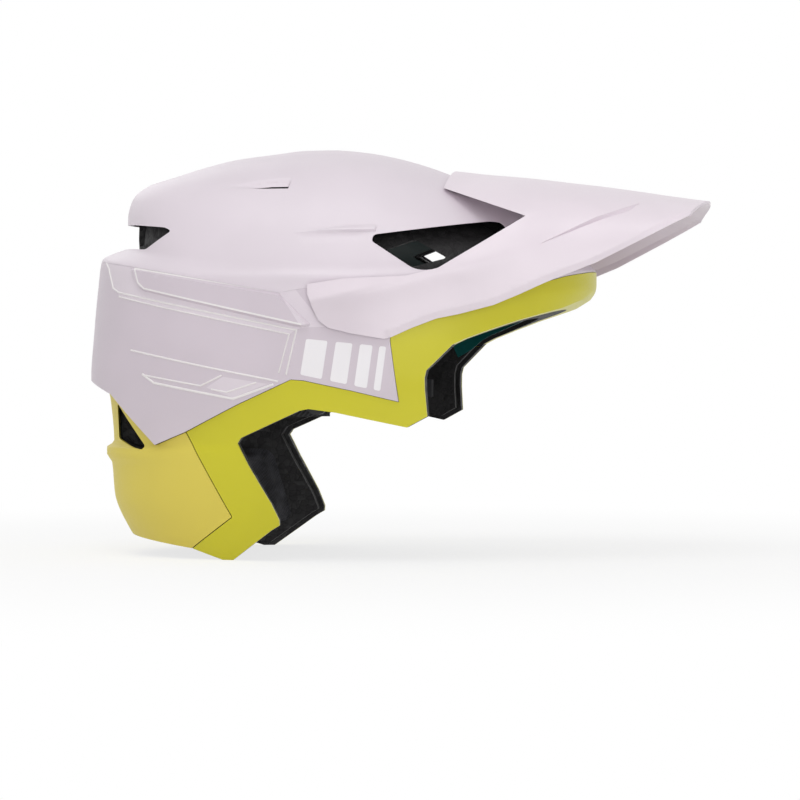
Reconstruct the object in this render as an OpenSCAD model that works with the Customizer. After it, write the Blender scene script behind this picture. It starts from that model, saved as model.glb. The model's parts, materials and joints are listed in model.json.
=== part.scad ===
// Trail and enduro helmet with a removable chin bar, worn open with the bar taken off.
// X points to the visor, Y to the rider's left, Z up. The origin is the middle of the
// head at brow level.

/* [Shell] */
// Length of the shell, from the back of the belt to the brow
shell_len = 287; // [270:1:302]
// Width of the shell at the belt, without the visor arms
shell_w = 202; // [190:1:212]
// Height of the crown above the brow level
crown_h = 85; // [79:1:91]
// Depth of the ear covers below the brow level
ear_depth = 144; // [136:1:152]
// Wall of the moulded outer shells
shell_t = 2; // [1.6:0.1:2.6]
// Gap along the seams between the outer shells
seam = 0.5; // [0.3:0.1:0.8]
// Height of the raised wedge on each side of the belt
wedge_h = 2.5; // [1.5:0.1:3]

/* [Head cavity] */
// Length of the cavity inside the foam, before pads
cavity_len = 210; // [202:1:216]
// Width of the cavity inside the foam, before pads
cavity_w = 164; // [158:1:168]
// Height of the cavity above the brow level
cavity_h = 58; // [54:1:61]
// Wall of the low-friction liner
slip_t = 0.8; // [0.6:0.1:1.2]
// Thickness of the comfort pads
pad_t = 6; // [4:0.5:8]
// Thickness of the ear pads
ear_pad_t = 9; // [6:0.5:11]
// Width of the air channels in the foam
channel_w = 20; // [14:1:24]
// Depth of the air channels in the foam
channel_d = 9; // [5:0.5:11]

/* [Visor] */
// Reach of the visor tip ahead of the origin
visor_reach = 207; // [195:1:218]
// Wall of the visor
visor_t = 2.6; // [2:0.1:3]
// Running gap between the visor arms and the shell at the pivots
arm_gap = 0.8; // [0.6:0.1:1.4]
// Upward tilt of the visor from its lowest detent, in degrees
visor_tilt = 18; // [9:3:18]
// Radius of the pivot studs
stud_r = 5; // [4:0.1:6]
// Length of the pivot studs inside the shell
stud_len = 10; // [8:0.5:12]
// Thickness of the keel under the visor
keel_t = 3.2; // [2.4:0.1:4]

/* [Fit system] */
// Height of the cradle's dial below the brow level
cradle_drop = 38; // [36:0.5:40]
// Radius of the headband's arc
band_r = 77; // [74:0.5:78]
// Height of the headband
band_h = 12; // [10:0.5:14]
// Thickness of the headband
band_t = 1.6; // [1.2:0.1:2]
// Teeth on the dial's pinion
pinion_teeth = 10; // [8:1:12]
// Spacing of the rack teeth along the band
tooth_pitch = 3.6; // [3:0.1:4]
// Radius of the dial
dial_r = 14; // [12:0.5:16]
// Thickness of the dial
dial_t = 7; // [5:0.5:8]
// Turn of the dial each way from the middle, in degrees
dial_turn = 110; // [80:5:120]
// Height adjustment of the cradle, up and down from the middle
cradle_travel = 4; // [2:0.5:5]

/* [Straps and sockets] */
// Width of the chin strap webbing
strap_w = 14; // [12:0.5:15]
// Thickness of the chin strap webbing
strap_t = 1.5; // [1.2:0.1:2]
// Radius of the bores that take the chin bar's pins
socket_r = 3.6; // [3:0.1:4]
// Depth of the bores that take the chin bar's pins
socket_depth = 12; // [9:0.5:14]

/* [Hidden] */

// Clearance between fixed neighbours, and between moving ones
fit = 0.3;
run = 0.1;
facets = 40;
n_shell = 2.3;
n_dome = 2.4;
mid_x = -5;
cavity_x = -3;

lilac = [0.86, 0.82, 0.86];
lime = [0.80, 0.77, 0.18];
moss = [0.80, 0.74, 0.35];
black = [0.07, 0.07, 0.07];
teal = [0.05, 0.36, 0.36];
steel = [0.6, 0.6, 0.62];

// The outlines below are drawn for a shell of these sizes, and stretch with the real ones
drawn_len = 287;
drawn_w = 202;
drawn_crown = 85;
drawn_ear = 144;
function X(x) = x * shell_len / drawn_len;
function Y(y) = y * shell_w / drawn_w;
function Z(z) = z > 0 ? z * crown_h / drawn_crown : z * ear_depth / drawn_ear;
function side(points) = [for (p = points) [X(p[0]), Z(p[1])]];

// Rings of the outer shell from the crown down: back x, front x, half width, and the
// height at the back, the side and the front
crown_rings = [
    [-22, 4, 10, 84.8, 84.3, 84.4],
    [-40, 18, 26, 82.4, 82, 82.6],
    [-62, 33, 40, 79.3, 78.5, 79.5],
    [-79, 48, 53, 75, 74, 75.2],
    [-96.5, 64, 64, 69.5, 68, 69.2],
    [-112, 80, 73, 64.5, 60, 61.5],
    [-120.5, 96, 81.5, 57, 50.5, 51],
    [-123, 112, 88, 47, 41, 41],
    [-123, 127, 93.5, 38, 30, 31],
    [-122.5, 136, 97.5, 30, 20, 23],
    [-129, 140, 98.8, 27.3, 15, 19],
    [-137.5, 143, 101, 23, 10, 15],
    [-139.8, 143, 101, 8, 0, 8],
    [-142.5, 138, 100.6, -20, -20, -6],
    [-144.3, 134, 98.8, -44, -44, -30]];
// Below them the belt runs on as a skirt, and the neck steps in under it
skirt_rings = [
    [-143.5, 134, 95.6, -62, -62, -62],
    [-140, 134, 92.8, -80, -80, -80],
    [-137.5, 134, 91, -92, -92, -92]];
neck_rings = [
    [-134.8, 134, 97.2, -50, -50, -50],
    [-133, 134, 95.8, -57, -57, -57],
    [-131.2, 134, 92.3, -80, -80, -80],
    [-135.5, 134, 92, -83.5, -83.5, -83.5],
    [-135.5, 134, 91.6, -87, -87, -87],
    [-132.5, 134, 91, -92, -92, -92],
    [-131, 134, 87, -110, -110, -110],
    [-122.5, 134, 80.5, -130, -130, -130],
    [-109, 134, 73.5, -148, -148, -148]];
belt_z = 10;

function sink(z, d) = z - d * max(0, z - belt_z) / (crown_h - belt_z);
function bend(c, n) = sign(c) * pow(abs(c), 2 / n);
function shell_point(r, f, d) = let (
    c = cos(f), s = sin(f),
    reach = c > 0 ? X(r[1] - mid_x) - d : X(mid_x - r[0]) - d,
    end_z = c > 0 ? r[5] : r[3])
    [X(mid_x) + reach * bend(c, n_shell),
     (Y(r[2]) - d) * bend(s, n_shell),
     sink(Z(r[4] + (end_z - r[4]) * c * c), d)];

// A closed solid through rings of equal count, listed from the top down
module skin(rings) {
    k = len(rings);
    n = len(rings[0]);
    mean = function (r) [for (i = [0:2]) [for (p = r) p[i]] * [for (p = r) 1]] / n;
    points = concat([for (r = rings) for (p = r) p], [mean(rings[0]), mean(rings[k - 1])]);
    walls = [for (j = [0:k - 2]) for (i = [0:n - 1]) let (h = (i + 1) % n)
        each [[j * n + i, j * n + h, (j + 1) * n + h], [j * n + i, (j + 1) * n + h, (j + 1) * n + i]]];
    lids = [for (i = [0:n - 1]) let (h = (i + 1) % n)
        each [[i, k * n, h], [(k - 1) * n + i, (k - 1) * n + h, k * n + 1]]];
    polyhedron(points, concat(walls, lids));
}
// A moulding with all its cuts, as one faceted surface at its own size
module moulding() resize([0, 0, 0]) children();
module both_sides() {
    children();
    mirror([0, 1, 0]) children();
}
// A prism across the helmet with the given outline in the side view
module across(from = -150, to = 150)
    translate([0, to, 0]) rotate([90, 0, 0]) linear_extrude(to - from) children();

module belt_body(d) skin([for (r = concat(crown_rings, skirt_rings))
    [for (i = [0:facets - 1]) shell_point(r, 360 * i / facets, d)]]);
module neck_body(d) skin([for (r = concat(crown_rings, neck_rings))
    [for (i = [0:facets - 1]) shell_point(r, 360 * i / facets, d)]]);
all_rings = concat(crown_rings, neck_rings);
function by_height(col) = [for (i = [len(all_rings) - 1:-1:0]) [Z(all_rings[i][4]), all_rings[i][col]]];
// Distance of the shell from the middle plane, at a place in the side view
function shell_y(x, z, d = 0) = let (
    half = Y(lookup(z, by_height(2))) - d,
    reach = x > X(mid_x) ? X(lookup(z, by_height(1)) - mid_x) - d : X(mid_x - lookup(z, by_height(0))) - d)
    half * pow(max(0, 1 - pow(abs(x - X(mid_x)) / reach, n_shell)), 1 / n_shell);

// The head cavity: a dome above the brow and a sleeve below it
sleeve_rows = [[-150, 0.91, 0.78], [-130, 0.94, 0.83], [-110, 0.985, 0.895], [-90, 1.0, 0.927],
    [-60, 1.0, 0.97], [-40, 1.0, 0.995], [0, 1, 1]];
function cavity_share(z, col) = lookup(z, [for (r = sleeve_rows) [Z(r[0]), r[col]]]);
function dome_share(z, d) = z <= 0 ? 1 : pow(max(0, 1 - pow(z / (cavity_h - d), n_dome)), 1 / n_dome);
function cavity_reach(z, d) = (cavity_len / 2 * cavity_share(z, 1) - d) * dome_share(z, d);
function cavity_half(z, d) = (cavity_w / 2 * cavity_share(z, 2) - d) * dome_share(z, d);
function cavity_point(f, z, d) =
    [cavity_x + cavity_reach(z, d) * bend(cos(f), n_shell), cavity_half(z, d) * bend(sin(f), n_shell), z];
function cavity_y(x, z, d) = cavity_half(z, d)
    * pow(max(0, 1 - pow(abs(x - cavity_x) / cavity_reach(z, d), n_shell)), 1 / n_shell);
function cavity_top(x, y, d) = let (
    a = abs(x - cavity_x) / (cavity_len / 2 - d), b = abs(y) / (cavity_w / 2 - d),
    r = pow(pow(a, n_shell) + pow(b, n_shell), 1 / n_shell))
    (cavity_h - d) * pow(max(0, 1 - pow(r, n_dome)), 1 / n_dome);
cavity_levels = [0.995, 0.96, 0.89, 0.78, 0.65, 0.5, 0.35, 0.18, 0];
module cavity(d, floor_z = -160)
    skin([for (z = concat([for (s = cavity_levels) s * (cavity_h - d)],
            [for (z = [Z(-40), Z(-60), Z(-90), Z(-110), Z(-130), Z(-150)]) if (z > floor_z) z], [floor_z]))
        [for (i = [0:facets - 1]) cavity_point(360 * i / facets, z, d)]]);

// Outlines in the side view
parting = [[-150, 23.5], [-109, 18], [-21, 3], [-6, 5.5], [12, 6.5], [48, 7]];
brow_top = [[70, 6.5], [95, 5.5], [110, 6.5], [119, 9], [130, 12.5], [145, 16], [160, 17]];
belt_foot = [[43, -56], [18, -50], [-8, -44.5], [-15, -44], [-46, -58], [-76, -73], [-95, -80.5],
    [-118, -58], [-123, -53], [-140, -46], [-150, -46]];
rim = [[150, 8], [144, 7], [141, 3], [138, 0], [128, -5], [105, -12], [91, -17], [78, -22], [72, -25],
    [67, -30], [58, -39], [57, -43], [57, -50], [58, -64], [47, -70], [9, -62], [-6, -60], [-11, -61],
    [-22, -66], [-44, -76], [-46, -79], [-40, -91], [-28, -112], [-24, -121], [-24, -124], [-29, -127],
    [-52, -144], [-58, -144], [-67, -141], [-76, -138], [-122, -132], [-140, -124], [-160, -116]];
ear_seam = [[-76, -73], [-70, -84], [-51, -119], [-51, -120], [-76, -138], [-76, -160]];
module belt_region() polygon(side(concat([for (i = [0:4]) parting[i]], [[40, 7], [39, -23]], belt_foot)));
module crown_region() polygon(side(concat([[-150, 100]], parting, brow_top, [[160, 100]])));
module under_rim() polygon(side(concat(rim, [[-160, -200], [200, -200], [200, 8]])));
module neck_region() difference() {
    polygon(side(concat([[-160, -50], [-125, -50], [-112, -65]], [[-95, -80.5]], ear_seam, [[-160, -160]])));
    offset(delta = seam) intersection() {
        belt_region();
        translate([X(-112), -200]) square([400, 400]);
    }
}
module lower_region() difference() {
    polygon(side([[-76.2, -60], [-76.2, -160], [170, -160], [170, 40], [30, 40]]));
    offset(delta = seam) belt_region();
    offset(delta = seam) crown_region();
    offset(delta = seam) neck_region();
    under_rim();
}

// Openings in the side view
side_vent = [[28, 31], [29, 34.5], [89, 42.5], [94, 42], [98, 38.5], [64, 16], [57, 15], [51, 16]];
top_slit = [[-41, 60], [-20, 61], [-19, 64], [-41, 61.5]];
exhaust = [[-140, 29.5], [-110, 28], [-103, 27.5], [-100, 29], [-86, 37.5], [-90, 39.5], [-111, 41.5],
    [-140, 43.5]];
neck_window = [[-122, -58], [-102, -81.5], [-104, -83.5], [-110, -82.5], [-122, -78]];
wedge = [[-109, 17.5], [-21, 2.6], [-3, -15], [-9, -16], [-101, 4.5], [-105, 9]];
module side_prism(outline, from, d = 0) both_sides() across(from, 150)
    offset(delta = d) polygon(side(outline));
module vents() {
    side_prism(side_vent, Y(40));
    across() polygon(side(exhaust));
    both_sides() front_intake(0);
}
// In the foam each side vent is a pocket with a lozenge port at its foot, and the exhaust slot
// is a shallow recess with three ports
vent_port = [[33, 26], [49.5, 17], [67.5, 22], [50, 32]];
vent_depth = 7;
exhaust_depth = 4;
module foam_vents() {
    side_prism(vent_port, Y(40));
    both_sides() front_intake(1);
    difference() {
        side_prism(side_vent, Y(40), 1);
        neck_body(shell_t + fit + vent_depth);
    }
    difference() {
        across() offset(delta = 1) polygon(side(exhaust));
        neck_body(shell_t + fit + exhaust_depth);
    }
}
intake_w = 20;
intake_h = 10;
intake_z = 30;
module front_intake(d)
    translate([X(60), Y(channel_lane) - intake_w / 2 - d, Z(intake_z) - d])
        cube([120, intake_w + 2 * d, intake_h + 2 * d]);
channel_lane = 32;

pivot_x = 15;
pivot_z = -5;
keel_from = 31;
keel_to = 42;
keel_foot = 86;
keel_slack = 1.5;
function pivot() = [X(pivot_x), Z(pivot_z)];
function polar(r, f) = pivot() + r * [cos(f), sin(f)];
function sector(r0, r1, f0, f1, n = 8) = concat(
    [for (i = [0:n]) polar(r0, f0 + (f1 - f0) * i / n)],
    [for (i = [n:-1:0]) polar(r1, f0 + (f1 - f0) * i / n)]);
module keel_slot(extra, low = keel_foot - 1)
    across(-keel_t / 2 - extra, keel_t / 2 + extra)
        polygon(sector(low, 135, keel_from - keel_slack, keel_to + visor_tilt + keel_slack));

module crown_shell() color(lilac) moulding() difference() {
    belt_body(0);
    belt_body(shell_t);
    across() difference() {
        translate([-200, -200]) square([400, 400]);
        crown_region();
    }
    vents();
    both_sides() across(45, 90) polygon(side(top_slit));
    keel_slot(0.8);
}
module belt_shell() color(lilac) moulding() difference() {
    union() {
        intersection() {
            belt_body(0);
            across() belt_outline();
        }
        both_sides() intersection() {
            belt_body(-wedge_h);
            across(30, 150) polygon(side(wedge));
        }
    }
    belt_body(shell_t);
    both_sides() across(Y(60), Y(150)) translate(pivot()) circle(bush_r + fit, $fn = 32);
}
module belt_outline() difference() {
    belt_region();
    offset(delta = seam) crown_region();
}
module lower_shell() color(lime) moulding() intersection() {
    difference() {
        neck_body(0);
        neck_body(shell_t);
    }
    across() lower_region();
}
module neck_shell() color(moss) moulding() difference() {
    intersection() {
        neck_body(0);
        across() difference() {
            neck_region();
            under_rim();
        }
    }
    neck_body(shell_t);
    side_prism(neck_window, Y(35));
}

// Foam liners
liner_split = -26.5;
// The foam's inner edge steps up from the rim all round
rim_step = 2.5;
rim_step_in = 8;
socket_x = 25;
socket_top = -46;
socket_foot = -63.5;
socket_size = [21, 10];
function socket_y() = shell_y(X(socket_x) + socket_size[0] / 2, Z(socket_foot), shell_t + 2 * fit)
    - socket_size[1] / 2;
pocket_back = -125;
module dial_pocket() translate([X(pocket_back), -dial_r - 10, cradle_z() - dial_r - 16])
    cube([X(pocket_back) * -1 - 92, 2 * dial_r + 20, 2 * dial_r + 26]);
channel_foot = 14;
module channels() for (y = [-channel_lane, 0, channel_lane])
    translate([0, Y(y) - channel_w / 2, 0]) across(0, channel_w) offset(r = 2) offset(delta = -2)
        polygon([for (x = [-1:0.125:1]) let (u = x * 0.985 * cavity_len / 2)
            [cavity_x + u * 1.03, abs(x) == 1 ? channel_foot : channel_d + cavity_top(cavity_x + u, 0, 0)]]);
module liner_body() difference() {
    neck_body(shell_t + fit);
    cavity(0);
    across() under_rim();
    intersection() {
        across() offset(delta = rim_step) under_rim();
        cavity(-rim_step_in, -165);
    }
    foam_vents();
    keel_slot(0.8);
    channels();
    rear_ports();
    dial_pocket();
    side_prism(neck_window, Y(35));
    both_sides() across(Y(50), Y(90)) polygon(side(top_slit));
    both_sides() across(Y(60), Y(150)) translate(pivot()) circle(bush_r + fit, $fn = 32);
    both_sides() translate([X(socket_x), socket_y(), 0])
        translate([-socket_size[0] / 2 - fit, -socket_size[1] / 2 - fit, -100])
            cube([socket_size[0] + 2 * fit, 30, 100 + Z(socket_top) + fit]);
    across(-guide_w / 2 - fit, guide_w / 2 + fit) offset(delta = fit) guide_outline();
}
module rear_ports() for (y = [-channel_lane, 0, channel_lane])
    translate([X(-140), Y(y) - channel_w / 2, Z(30)]) cube([60, channel_w, Z(42) - Z(30)]);
module crown_liner() color(black) moulding() difference() {
    liner_body();
    translate([-200, -150, Z(liner_split) - 300]) cube([400, 300, 300]);
}
module neck_liner() color(black) moulding() difference() {
    liner_body();
    translate([-200, -150, Z(liner_split) - fit]) cube([400, 300, 300]);
}
slip_foot = [[-130, 9], [36, 9], [57, -33], [66, -28], [72, -23], [78, -20], [91, -15], [105, -10],
    [128, -3], [138, 2], [160, 9], [160, 90], [-130, 90]];
module slip_liner() color(teal) moulding() difference() {
    cavity(fit, -60);
    cavity(fit + slip_t, -61);
    across() difference() {
        translate([-200, -200]) square([400, 400]);
        polygon(side(slip_foot));
    }
    side_prism(vent_port, 40, 1.5);
    both_sides() front_intake(1.5);
    for (y = [-channel_lane, 0, channel_lane]) for (x = [-97, -48, 2, 52])
        translate([X(x), Y(y) - channel_w / 2 + 2, 12]) cube([34, channel_w - 4, 80]);
    translate([-140, -track_w / 2 - 1, -20]) cube([60, track_w + 2, 38]);
}
// Pads and webbing that lie on the cavity wall: rows across the patch, each point pushed in
// by its depth, closed by the flat back
module wall_patch(at, nu, nv) {
    n = (nu + 1) * (nv + 1);
    id = function (i, j, k) k * n + j * (nu + 1) + i;
    points = [for (k = [0, 1]) for (j = [0:nv]) for (i = [0:nu]) at(i / nu, j / nv, k)];
    faces = concat(
        [for (j = [0:nv - 1]) for (i = [0:nu - 1]) let (
            a = id(i, j, 0), b = id(i + 1, j, 0), c = id(i + 1, j + 1, 0), e = id(i, j + 1, 0))
            each [[a, b, c], [a, c, e], [a + n, c + n, b + n], [a + n, e + n, c + n]]],
        [for (i = [0:nu - 1]) each [
            [id(i, 0, 1), id(i + 1, 0, 1), id(i + 1, 0, 0)],
            [id(i, 0, 1), id(i + 1, 0, 0), id(i, 0, 0)],
            [id(i, nv, 0), id(i + 1, nv, 0), id(i + 1, nv, 1)],
            [id(i, nv, 0), id(i + 1, nv, 1), id(i, nv, 1)]]],
        [for (j = [0:nv - 1]) each [
            [id(nu, j, 1), id(nu, j + 1, 1), id(nu, j + 1, 0)],
            [id(nu, j, 1), id(nu, j + 1, 0), id(nu, j, 0)],
            [id(0, j, 0), id(0, j + 1, 0), id(0, j + 1, 1)],
            [id(0, j, 0), id(0, j + 1, 1), id(0, j, 1)]]]);
    polyhedron(points, faces);
}
// Crown of a cushion: full in the middle, drawn in along its edge and in the sewn channel
function crown(u, v, edge = 0.35) = edge + (1 - edge)
    * pow(max(0, 1 - pow(abs(2 * u - 1), 3)), 0.5) * pow(max(0, 1 - pow(abs(2 * v - 1), 3)), 0.5);
function channel(u, places, depth = 0.35) =
    1 - depth * max([0, for (p = places) 1 - abs(u - p) * 16]);
tab_t = 0.6;
// The cavity's facets lie this much inside its true round
sag = 0.4;
pad_back = fit + slip_t + 0.2 + tab_t + 0.2 + sag;

function brow_low(f) = Z(3.5 - 23.5 * pow(abs(f) / 46, 1.6));
module brow_pad() color(black) wall_patch(function (u, v, k) let (
    f = 44 - 88 * u, low = brow_low(f), z = low + 24 * v,
    fat = pad_t * crown(u, v) * channel(u, [0.25, 0.5, 0.75]))
    cavity_point(f, z, pad_back + (k ? fat : 0)), 20, 6);
crown_from = -58;
crown_to = 44;
crown_half = 21;
module crown_pad() color(black) wall_patch(function (u, v, k) let (
    x = X(crown_to + (crown_from - crown_to) * u), y = crown_half * (2 * v - 1),
    fat = pad_t * crown(u, v) * channel(u, [0.33, 0.67]))
    [x, y, cavity_top(x, y, pad_back) - (k ? fat : 0)], 18, 8);
module side_pad() color(black) wall_patch(function (u, v, k) let (
    f = -(92 + 40 * u), z = Z(8) + 24 * v,
    fat = pad_t * crown(u, v) * channel(u, [0.5]))
    cavity_point(f, z, pad_back + (k ? fat : 0)), 12, 6);
module side_pad_right() side_pad();
module side_pad_left() mirror([0, 1, 0]) side_pad();
ear_pad_back = fit + tab_t + 0.2 + sag;
module ear_pad() color(black) wall_patch(function (u, v, k) let (
    z = Z(-86 - 44 * v), front = -53 + 14 * v, x = X(front - 36 * (1 - u)),
    fat = ear_pad_t * crown(u, v) * channel(v, [0.5]),
    d = ear_pad_back + (k ? fat : 0))
    [x, -cavity_y(x, z, d), z], 10, 10);
module ear_pad_right() ear_pad();
module ear_pad_left() mirror([0, 1, 0]) ear_pad();
tab_r = 4.5;
module tab_at(p) translate(p) sphere(tab_r, $fn = 8);
module pad_tabs() color(black) moulding() {
    intersection() {
        difference() {
            cavity(fit + slip_t + 0.2, -60);
            cavity(fit + slip_t + 0.2 + tab_t, -61);
        }
        union() {
            for (f = [-30, -10, 10, 30]) tab_at(cavity_point(f, brow_low(f) + 13, 2));
            both_sides() for (f = [-100, -122]) tab_at(cavity_point(f, Z(8) + 10, 2));
            for (x = [-48, 34]) for (y = [-14, 14]) tab_at([X(x), y, cavity_top(X(x), y, 2)]);
        }
    }
    intersection() {
        difference() {
            cavity(fit);
            cavity(fit + tab_t);
        }
        both_sides() for (p = [[-62, -94], [-62, -120]])
            tab_at([X(p[0]), -cavity_y(X(p[0]), Z(p[1]), 1), Z(p[1])]);
    }
}
slip_anchor_r = 6;
module slip_anchors() color(black) moulding() intersection() {
    difference() {
        cavity(fit + slip_t + 0.2, -60);
        cavity(fit + slip_t + 0.2 + 1.6, -61);
    }
    both_sides() for (f = [-64, -150]) translate(cavity_point(f, Z(11), 2)) sphere(slip_anchor_r, $fn = 12);
}

// Visor: stations along its length, with half width, edge height, middle height and roundness
visor_rows = [
    [-10, 0, 20, 74, 1.8], [15, 0, 20, 74, 1.8], [40, 0, 18, 73.8, 1.8], [52, 0, 17, 73.4, 1.8],
    [65, 98.6, 14, 72.6, 1.8], [80, 96.8, 10, 70.8, 1.95], [95, 95, 6, 69.3, 2.3], [111, 93, 4, 67.6, 2.7],
    [130, 89.5, 8, 65.3, 2.6], [150, 85.8, 17, 62.9, 2.5], [168, 81.5, 26, 60.4, 2.4],
    [185, 76, 36, 57.8, 2.3], [198, 71, 42.5, 56, 2.2], [209, 66, 44, 54.6, 2.1]];
arm_end = 4;
dome_gap = 0.6;
visor_arc = 22;
function reach_x(x) = x < 65 ? X(x) : X(65) + (x - 65) * (visor_reach - X(65)) / (207 - 65);
function arm_half(x) = shell_y(X(x), 0) + arm_gap + max(0, x - pivot_x - 15) * 0.04 + visor_t;
function visor_half(i) = i < arm_end ? arm_half(visor_rows[i][0]) : Y(visor_rows[i][1]);
function visor_ring(i, d, x_last) = let (
    r = visor_rows[i], w = visor_half(i) - d, low = Z(r[2]), p = r[4], x = min(reach_x(r[0]), x_last))
    concat([[x, -w, -60], [x, -w, low]],
        [for (k = [1:visor_arc - 1]) let (f = 180 * k / visor_arc)
            [x, -w * bend(cos(f), p), low + (Z(r[3]) - d - low) * bend(sin(f), p)]],
        [[x, w, low], [x, w, -60]]);
module visor_body(d, x_last) skin([for (i = [0:len(visor_rows) - 1]) visor_ring(i, d, x_last)]);
visor_side = [[66, 90], [63, 61], [111, 44.5], [65, 16], [48, 12], [14, 10.5], [-5, 7.5], [-5, 2], [-2, -6],
    [1, -12], [6, -16], [18, -19], [36, -22], [40, -21], [51, -16], [64, -11], [76, -8.6], [94.6, -3.7],
    [108.7, 2.2], [121.7, 8.2], [149.4, 19.3], [177.5, 33.8], [198.6, 45], [204, 44], [215, 44], [215, 90]];
module visor() color(lilac) moulding() difference() {
    visor_body(0, 400);
    visor_body(visor_t, reach_x(204));
    belt_body(-dome_gap);
    across() difference() {
        translate([-200, -200]) square([500, 400]);
        polygon([for (p = visor_side) [reach_x(p[0]), Z(p[1])]]);
    }
    difference() {
        translate([reach_x(150), -150, -100]) cube([200, 300, 300]);
        linear_extrude(300) polygon(concat([[reach_x(140), -110]],
            [for (f = [-74:8:74]) [reach_x(207) - 13 * pow(abs(f) / 74, 2.4) - (abs(f) > 66 ? 3 : 0), Y(f)]],
            [[reach_x(140), 110]]));
    }
    both_sides() pivot_hole();
}
stud_seat = 1.5;
function arm_inner() = arm_half(pivot_x) - visor_t;
module pivot_hole() across(arm_inner() - 2, arm_inner() + stud_seat)
    translate(pivot()) circle(stud_r + 0.15, $fn = 48);
// A round bar across the helmet, from one distance off the middle plane to another
module bar(r, from, to, at = pivot())
    translate([at[0], from, at[1]]) rotate([-90, 0, 0]) cylinder(h = to - from, r = r);
bush_r = 9;
bush_head = 0.4;
module pivot_stud_left() color(black)
    bar(stud_r, arm_inner() - arm_gap - stud_len, arm_inner() + stud_seat - 0.1, $fn = 64);
module pivot_stud_right() mirror([0, 1, 0]) pivot_stud_left();
module pivot_bush_left() color(black) difference() {
    bar(bush_r, arm_inner() - arm_gap - stud_len - 3, arm_inner() - arm_gap - bush_head, $fn = 64);
    bar(stud_r + run, arm_inner() - arm_gap - stud_len - 1, arm_inner() + 5, $fn = 64);
}
module pivot_bush_right() mirror([0, 1, 0]) pivot_bush_left();

guide_w = 13;
function roof_z(x) = let (row = visor_rows) lookup(x, [for (r = row) [reach_x(r[0]), Z(r[3]) - visor_t]]);
function keel_teeth(r) = [for (i = [0:24])
    polar(r + (i % 6 == 3 ? 1 : 0), keel_from + (keel_to - keel_from) * i / 24)];
module visor_keel() color(black) across(-keel_t / 2, keel_t / 2) polygon(concat(
    keel_teeth(keel_foot),
    let (a = polar(112, keel_to), b = polar(122, keel_from))
        [for (i = [0:6]) let (x = a[0] + (b[0] - a[0]) * i / 6) [x, roof_z(x) - 0.05]]));
function dome_radius(f) = let (
    hits = [for (r = [70:0.5:140]) if (polar(r, f)[1] > front_z(polar(r, f)[0])) r]) hits[0];
front_rows = [for (i = [0:11]) [X(crown_rings[i][1]), Z(crown_rings[i][5])]];
function front_z(x) = lookup(x, front_rows);
guide_sink = 3;
guide_rim = 2;
function guide_angle(i) = keel_from - keel_slack - guide_rim
    + (keel_to + visor_tilt - keel_from + 2 * (keel_slack + guide_rim)) * i / 8;
module guide_outline() polygon(concat(
    [for (i = [0:8]) let (f = guide_angle(i), deep = min(1, (f - guide_angle(0)) / 10))
        polar(keel_foot - 1.6 - 3.4 * deep, f)],
    [for (i = [8:-1:0]) let (f = guide_angle(i)) polar(dome_radius(f) - shell_t - guide_sink, f)]));
spring_w = 7;
module keel_guide() color(black) moulding() difference() {
    across(-guide_w / 2, guide_w / 2) guide_outline();
    across(-keel_t / 2 - 0.5, keel_t / 2 + 0.5)
        polygon(sector(keel_foot - 0.6, 130, keel_from - keel_slack, keel_to + visor_tilt + keel_slack));
    across(-spring_w / 2 - fit, spring_w / 2 + fit)
        polygon(sector(keel_foot - 3.4, keel_foot - 0.5, keel_to - 8, keel_to + 5));
}
module detent_spring() color(steel) across(-spring_w / 2, spring_w / 2)
    polygon(concat([for (i = [0:10]) spring_point(i, 2.2)], [for (i = [10:-1:0]) spring_point(i, 3.1)]));
function spring_point(i, depth) =
    polar(keel_foot - depth + 1.2 * pow(sin(18 * i), 2), keel_to - 7.4 + 1.2 * i);

// Fit system: a headband of two arcs, drawn in by the dial at the nape
band_x = cavity_x - cavity_len / 2 + 94;
wrap = 92;
clip_at = 80;
tooth_h = 1.3;
function cradle_z() = -cradle_drop;
pitch_r = pinion_teeth * tooth_pitch / (2 * PI);
travel = pitch_r * dial_turn * PI / 180;
function turn(length) = length / band_r * 180 / PI;
slot_wrap = turn(travel + pitch_r + tooth_h / 2 + 1.5);
plate_wrap = slot_wrap + 2.5;
root = pitch_r + tooth_h / 2 + 0.25;
plain = pitch_r + tooth_h / 2 + 0.6;
plate_h = 2 * pitch_r + 8.4;
outer_r = band_r - band_t / 2;
inner_r = outer_r - band_t - 0.4;
lane_in = inner_r - 0.4;
lane_out = outer_r + band_t + 0.4;
// An outline of distance from the headband's axis and height, swept round it from the nape
// to the rider's right
module arc(outline, from, to, fine = 180) translate([band_x, 0, cradle_z()])
    rotate([0, 0, 180 + from]) rotate_extrude(angle = to - from, $fn = fine) polygon(outline);
function span(r0, r1, low, high) = [[r0, low], [r1, low], [r1, high], [r0, high]];
rack_tooth = [[root + 0.5, -1.2], [root + 0.5, 1.2], [root - tooth_h, 0.4], [root - tooth_h, -0.4]];
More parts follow.
